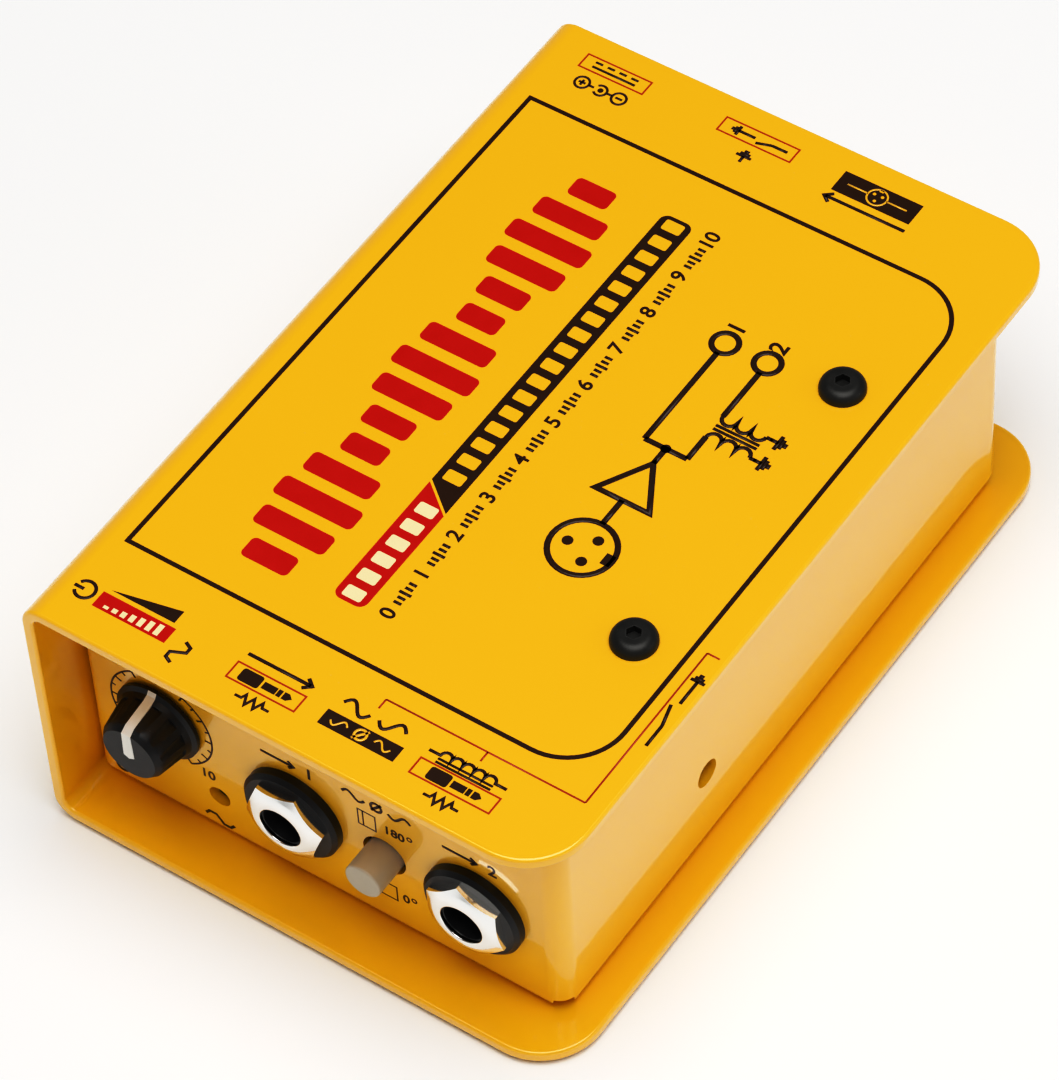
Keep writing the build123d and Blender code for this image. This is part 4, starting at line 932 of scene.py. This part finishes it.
def printSignalDiagram():
    # three-pin socket, amplifier, direct output, and a transformer with a lifted earth to the second output
    diagram = {
        "across": 57.4, "along": 66.0, "line": 0.85, "thin": 0.6, "socket": 4.7, "socketU": -18.5,
        "amp": 4.3, "ampU": -9.0, "ampLong": 1.75, "lead": 3.0, "dot": 0.75, "branch": 3.4,
        "outU": 19.5, "terminal": 1.9, "coilLead": 4.6, "hump": 1.15, "humps": 3, "coilGap": 1.9,
        "core": 0.35, "coreLine": 0.48, "drop": 1.0, "earthDrop": 1.9, "earth": 2.6,
        "numeral": 2.6, "numeralOut": 5.0,
    }
    wide, thin, amp, hump, branch = (diagram[key] for key in ("line", "thin", "amp", "hump", "branch"))
    socketU, ampU, outU = (diagram[key] for key in ("socketU", "ampU", "outU"))
    tip = ampU + amp * diagram["ampLong"]
    nodeU = tip + diagram["lead"]
    coilU = nodeU + diagram["coilLead"]
    secondU = coilU + 2 * hump + diagram["coilGap"]
    foot = -branch - 2 * diagram["humps"] * hump
    sheet = newSheet()
    put(sheet, threePinMark(diagram["socket"], wide), socketU, 0)
    line(sheet, [(socketU + diagram["socket"], 0), (ampU, 0)], wide)
    line(sheet, [(ampU, -amp), (tip, 0), (ampU, amp)], wide, True)
    line(sheet, [(tip, 0), (nodeU, 0)], wide)
    sheet["fills"].append(arc(nodeU, 0, diagram["dot"], steps=16))
    for level, reach in ((branch, outU), (-branch, coilU)):
        line(sheet, [(nodeU, 0), (nodeU, level)], wide)
        line(sheet, [(nodeU, level), (reach, level)], wide)
        line(sheet, arc(outU + diagram["terminal"], level, diagram["terminal"]), wide, True)
    for side, base in ((1, coilU), (-1, secondU)):
        points = []
        for i in range(diagram["humps"]):
            points += arc(base, -branch - hump * (2 * i + 1), hump, 90, -180 * side, 8)
        line(sheet, points, thin)
        line(sheet, [(base, foot), (base, foot - diagram["drop"])], thin)
        put(sheet, groundMark(diagram["earth"], thin), base, foot - diagram["earthDrop"])
    for shift in (-diagram["core"], diagram["core"]):
        u = coilU + hump + diagram["coilGap"] / 2 + shift
        line(sheet, [(u, -branch), (u, foot)], diagram["coreLine"])
    line(sheet, [(secondU, -branch), (outU, -branch)], wide)
    for text, level in (("1", branch), ("2", -branch)):
        numeral(sheet, text, outU + diagram["numeralOut"], level, diagram["numeral"])
    place = onTop(plate["left"] + diagram["across"], plate["front"] + diagram["along"], 90)
    layInk("signal_diagram", "ink_black", sheet, place)


printBorder()
printLevelBars()
printMeterStrip()
printLevelScale()
printSignalDiagram()
print("top plate printed")


# marks beside the controls

def printFrontMarks():
    row = {
        "box": 6.5, "over": 3.15, "under": -3.2, "shift": -0.6, "jackShift": -1.0, "nudge": 0.2,
        "frame": 0.26,
        "power": 1.45, "powerOut": 8.8, "powerUp": 0.3, "clip": (3.8, 2.0), "clipOut": 7.8, "clipDown": 1.6,
        "wedge": (10.2, 2.2), "levelBox": (11.8, 2.7), "steps": 7, "stepPitch": 1.35, "stepWide": 0.8,
        "stepLow": 0.5, "stepHigh": 1.9, "arrow": 10.2, "jackBox": (11.1, 3.1), "plug": (8.2, 2.1),
        "load": (5.4, 1.5), "wave": (4.2, 1.9), "waveOut": 2.8, "phaseBox": (11.9, 2.6), "phaseUp": 0.1,
        "phase": 0.85, "smallWave": (2.6, 1.2), "smallWaveOut": 3.4, "smallLine": 0.28,
        "coil": 12.0, "humps": 5, "isolatedBox": (12.6, 3.0),
    }
    knobU, buttonU, secondU = (middle(node).x for node in ("level_knob", "polarity_button", "out_b_bezel"))
    levelU, phaseU, isolatedU = (u + row["shift"] for u in (knobU, buttonU, secondU))
    jackU = middle("out_a_bezel").x + row["jackShift"]
    phaseV = row["phaseUp"]
    black, boxes, red, cream, yellow = (newSheet() for _ in range(5))
    put(black, powerMark(row["power"]), knobU - row["powerOut"], row["powerUp"], 90)
    put(black, clippedMark(*row["clip"]), knobU + row["clipOut"], -row["clipDown"], 90)
    put(black, wedgeMark(*row["wedge"]), levelU, row["over"])
    patch(red, levelU, 0, *row["levelBox"])
    steps = stepsMark(row["steps"], row["stepPitch"], row["stepWide"], row["stepLow"], row["stepHigh"])
    put(cream, steps, levelU, 0)
    put(black, arrowMark(row["arrow"]), jackU, row["over"])
    patch(boxes, jackU, 0, *row["jackBox"], hollow=row["frame"])
    put(black, plugMark(*row["plug"]), jackU, 0)
    put(black, zigzagMark(*row["load"]), jackU, row["under"])
    put(yellow, phaseMark(row["phase"]), phaseU, phaseV)
    for side in (-1, 1):
        wave = waveMark(*row["wave"], flip=-side)
        put(black, wave, phaseU + side * row["waveOut"], row["over"] + row["nudge"])
        small = waveMark(*row["smallWave"], flip=side, width=row["smallLine"])
        put(yellow, small, phaseU + side * row["smallWaveOut"], phaseV)
    patch(black, phaseU, phaseV, *row["phaseBox"])
    put(black, coilMark(row["coil"], row["humps"]), isolatedU, row["over"] - row["nudge"])
    patch(boxes, isolatedU, 0, *row["isolatedBox"], hollow=row["frame"])
    put(black, plugMark(*row["plug"]), isolatedU, 0)
    put(black, zigzagMark(*row["load"]), isolatedU, row["under"])

    # thin line that ties the earth lift at the side to the isolated output
    tie = {"front": 6.6, "back": 35.0, "start": 1.1, "side": 38.9, "end": 1.9, "drop": 1.7, "line": 0.26,
           "lift": (14.5, 2.1), "liftOut": 1.5, "liftAlong": 25.5}
    startU, sideU = buttonU - tie["start"], tie["side"]
    for ends in (
        [(startU, tie["front"] - tie["drop"]), (startU, tie["front"])],
        [(startU, tie["front"]), (sideU, tie["front"])],
        [(secondU, tie["front"]), (secondU, tie["front"] - tie["drop"])],
        [(sideU, tie["front"]), (sideU, tie["back"])],
        [(sideU, tie["back"]), (sideU + tie["end"], tie["back"])],
    ):
        line(boxes, ends, tie["line"])
    put(black, liftMark(*tie["lift"]), sideU + tie["liftOut"], tie["liftAlong"], 90)

    place = onTop(0, plate["front"] + row["box"])
    layInk("front_marks", "ink_black", black, place)
    layInk("front_mark_boxes", "ink_line_red", boxes, place)
    layInk("level_mark_box", "ink_red", red, place)
    layInk("level_mark_steps", "ink_cream", cream, place, inkSet["overprint"])
    layInk("phase_mark", "yellow_paint", yellow, place, inkSet["overprint"])


def printRearMarks():
    # read from behind, so everything is turned half round
    row = {
        "box": -5.4, "over": -9.2, "nudge": 0.2, "frame": 0.26, "line": 0.4,
        "barrel": (8.4, 1.1), "powerBox": (11.0, 2.9), "directHalf": 3.6, "directDown": 0.45,
        "dashes": 4, "dashPitch": 2.0, "dashHalf": 0.6, "dashUp": 0.5,
        "ground": 2.4, "liftBox": (12.3, 3.0), "lift": (9.6, 1.8),
        "arrow": 13.0, "inputBox": (12.6, 4.0), "inputDown": 0.6, "socket": 1.5, "thin": 0.28, "reach": 4.8,
    }
    powerU, liftU, inputU = (middle(node).x for node in ("dc_inlet_body", "rear_lift_button", "xlr_housing"))
    inputV = row["box"] - row["inputDown"]
    black, boxes, yellow = (newSheet() for _ in range(3))
    put(black, barrelMark(*row["barrel"]), powerU, row["over"], 180)
    patch(boxes, powerU, row["box"], *row["powerBox"], hollow=row["frame"])
    v = row["box"] - row["directDown"]
    line(black, [(powerU - row["directHalf"], v), (powerU + row["directHalf"], v)], row["line"])
    v = row["box"] + row["dashUp"]
    for i in range(row["dashes"]):
        u = powerU + (i - (row["dashes"] - 1) / 2) * row["dashPitch"]
        line(black, [(u - row["dashHalf"], v), (u + row["dashHalf"], v)], row["line"])
    put(black, groundMark(row["ground"]), liftU, row["over"], 180)
    patch(boxes, liftU, row["box"], *row["liftBox"], hollow=row["frame"])
    put(black, liftMark(*row["lift"]), liftU, row["box"], 180)
    put(black, arrowMark(row["arrow"]), inputU, row["over"] - row["nudge"], 180)
    patch(black, inputU, inputV, *row["inputBox"])
    put(yellow, threePinMark(row["socket"], row["thin"]), inputU, inputV, 180)
    for side in (-1, 1):
        near, far = inputU + side * row["socket"], inputU + side * row["reach"]
        line(yellow, [(near, inputV), (far, inputV)], row["thin"])
    place = onTop(0, plate["rear"])
    layInk("rear_marks", "ink_black", black, place)
    layInk("rear_mark_boxes", "ink_line_red", boxes, place)
    layInk("input_mark", "yellow_paint", yellow, place, inkSet["overprint"])


def printPanelMarks():
    panel = {
        "numeral": 2.1, "small": 1.6, "line": 0.42, "thin": 0.2, "degree": 0.38,
        "arrow": (5.4, 0.9, 0.46), "arrowOut": 2.2, "numeralOut": 3.0, "overJack": 2.1,
        "wave": (3.6, 1.4), "waveOut": 3.7, "phase": 0.85, "phaseU": -0.6, "phaseV": 10.2,
        "clip": (4.8, 1.5, 0.44), "clipShift": -0.5, "clipDown": 5.4, "power": (1.0, 0.42), "powerDown": 5.0,
    }
    # the button standing out and pushed in, each beside the angle that it gives
    outside = {"box": (-2.4, 6.2), "size": (3.0, 3.4), "bar": -3.0, "barHalf": 1.7, "text": (2.0, 6.2),
               "dot": (4.5, 6.8)}
    inside = {"box": (0.2, -7.7), "size": (2.8, 3.2), "text": (3.0, -7.8), "dot": (4.3, -7.2)}
    sheet = newSheet()
    for count, node in enumerate(("out_a_bezel", "out_b_bezel")):
        u, v = middle(node).x, highest(node).z + panel["overJack"]
        put(sheet, arrowMark(*panel["arrow"]), u - panel["arrowOut"], v)
        numeral(sheet, str(count + 1), u + panel["numeralOut"], v, panel["numeral"])
    buttonU, buttonV = middle("polarity_button").x, middle("polarity_button").z
    phaseU, phaseV = buttonU + panel["phaseU"], buttonV + panel["phaseV"]
    put(sheet, waveMark(*panel["wave"], width=panel["line"]), phaseU - panel["waveOut"], phaseV)
    put(sheet, phaseMark(panel["phase"], panel["line"]), phaseU, phaseV)
    put(sheet, waveMark(*panel["wave"], flip=-1, width=panel["line"]), phaseU + panel["waveOut"], phaseV)
    barU, barV = buttonU + outside["bar"], buttonV + outside["box"][1]
    line(sheet, [(barU, barV - outside["barHalf"]), (barU, barV + outside["barHalf"])], panel["thin"])
    for state, angle in ((outside, "180"), (inside, "0")):
        (boxU, boxV), (textU, textV), (dotU, dotV) = state["box"], state["text"], state["dot"]
        patch(sheet, buttonU + boxU, buttonV + boxV, *state["size"], hollow=panel["thin"])
        numeral(sheet, angle, buttonU + textU, buttonV + textV, panel["small"])
        line(sheet, arc(buttonU + dotU, buttonV + dotV, panel["degree"], steps=12), panel["thin"], True)
    lampU, lampV = middle("clip_led").x, middle("clip_led").z
    put(sheet, clippedMark(*panel["clip"]), lampU + panel["clipShift"], lampV - panel["clipDown"])
    lampU, lampV = middle("power_led").x, middle("power_led").z
    put(sheet, powerMark(*panel["power"]), lampU, lampV - panel["powerDown"])
    layInk("panel_marks", "ink_black", sheet, onFront())


def printDial():
    dial = {"radius": 8.4, "tick": 1.15, "short": 0.6, "line": 0.28, "start": -60, "sweep": 300, "steps": 20,
            "numeral": 1.75, "numeralOut": 2.0, "numeralTurns": {"10": 12, "0": 292}}
    knobU, knobV = middle("level_knob").x, middle("level_knob").z
    sheet = newSheet()

    def rim(radius, turn):
        angle = math.radians(dial["start"] + turn)
        return knobU + radius * math.cos(angle), knobV + radius * math.sin(angle)

    line(sheet, arc(knobU, knobV, dial["radius"], dial["start"], dial["sweep"], 60), dial["line"])
    for i in range(dial["steps"] + 1):
        turn = dial["sweep"] * i / dial["steps"]
        inner = dial["radius"] - dial["tick"] * (1 if i % 2 == 0 else dial["short"])
        line(sheet, [rim(inner, turn), rim(dial["radius"], turn)], dial["line"])
    for text, turn in dial["numeralTurns"].items():
        numeral(sheet, text, *rim(dial["radius"] + dial["numeralOut"], turn), dial["numeral"])
    layInk("dial_scale", "ink_black", sheet, onFront())


printFrontMarks()
printRearMarks()
printPanelMarks()
printDial()
print("marks printed")
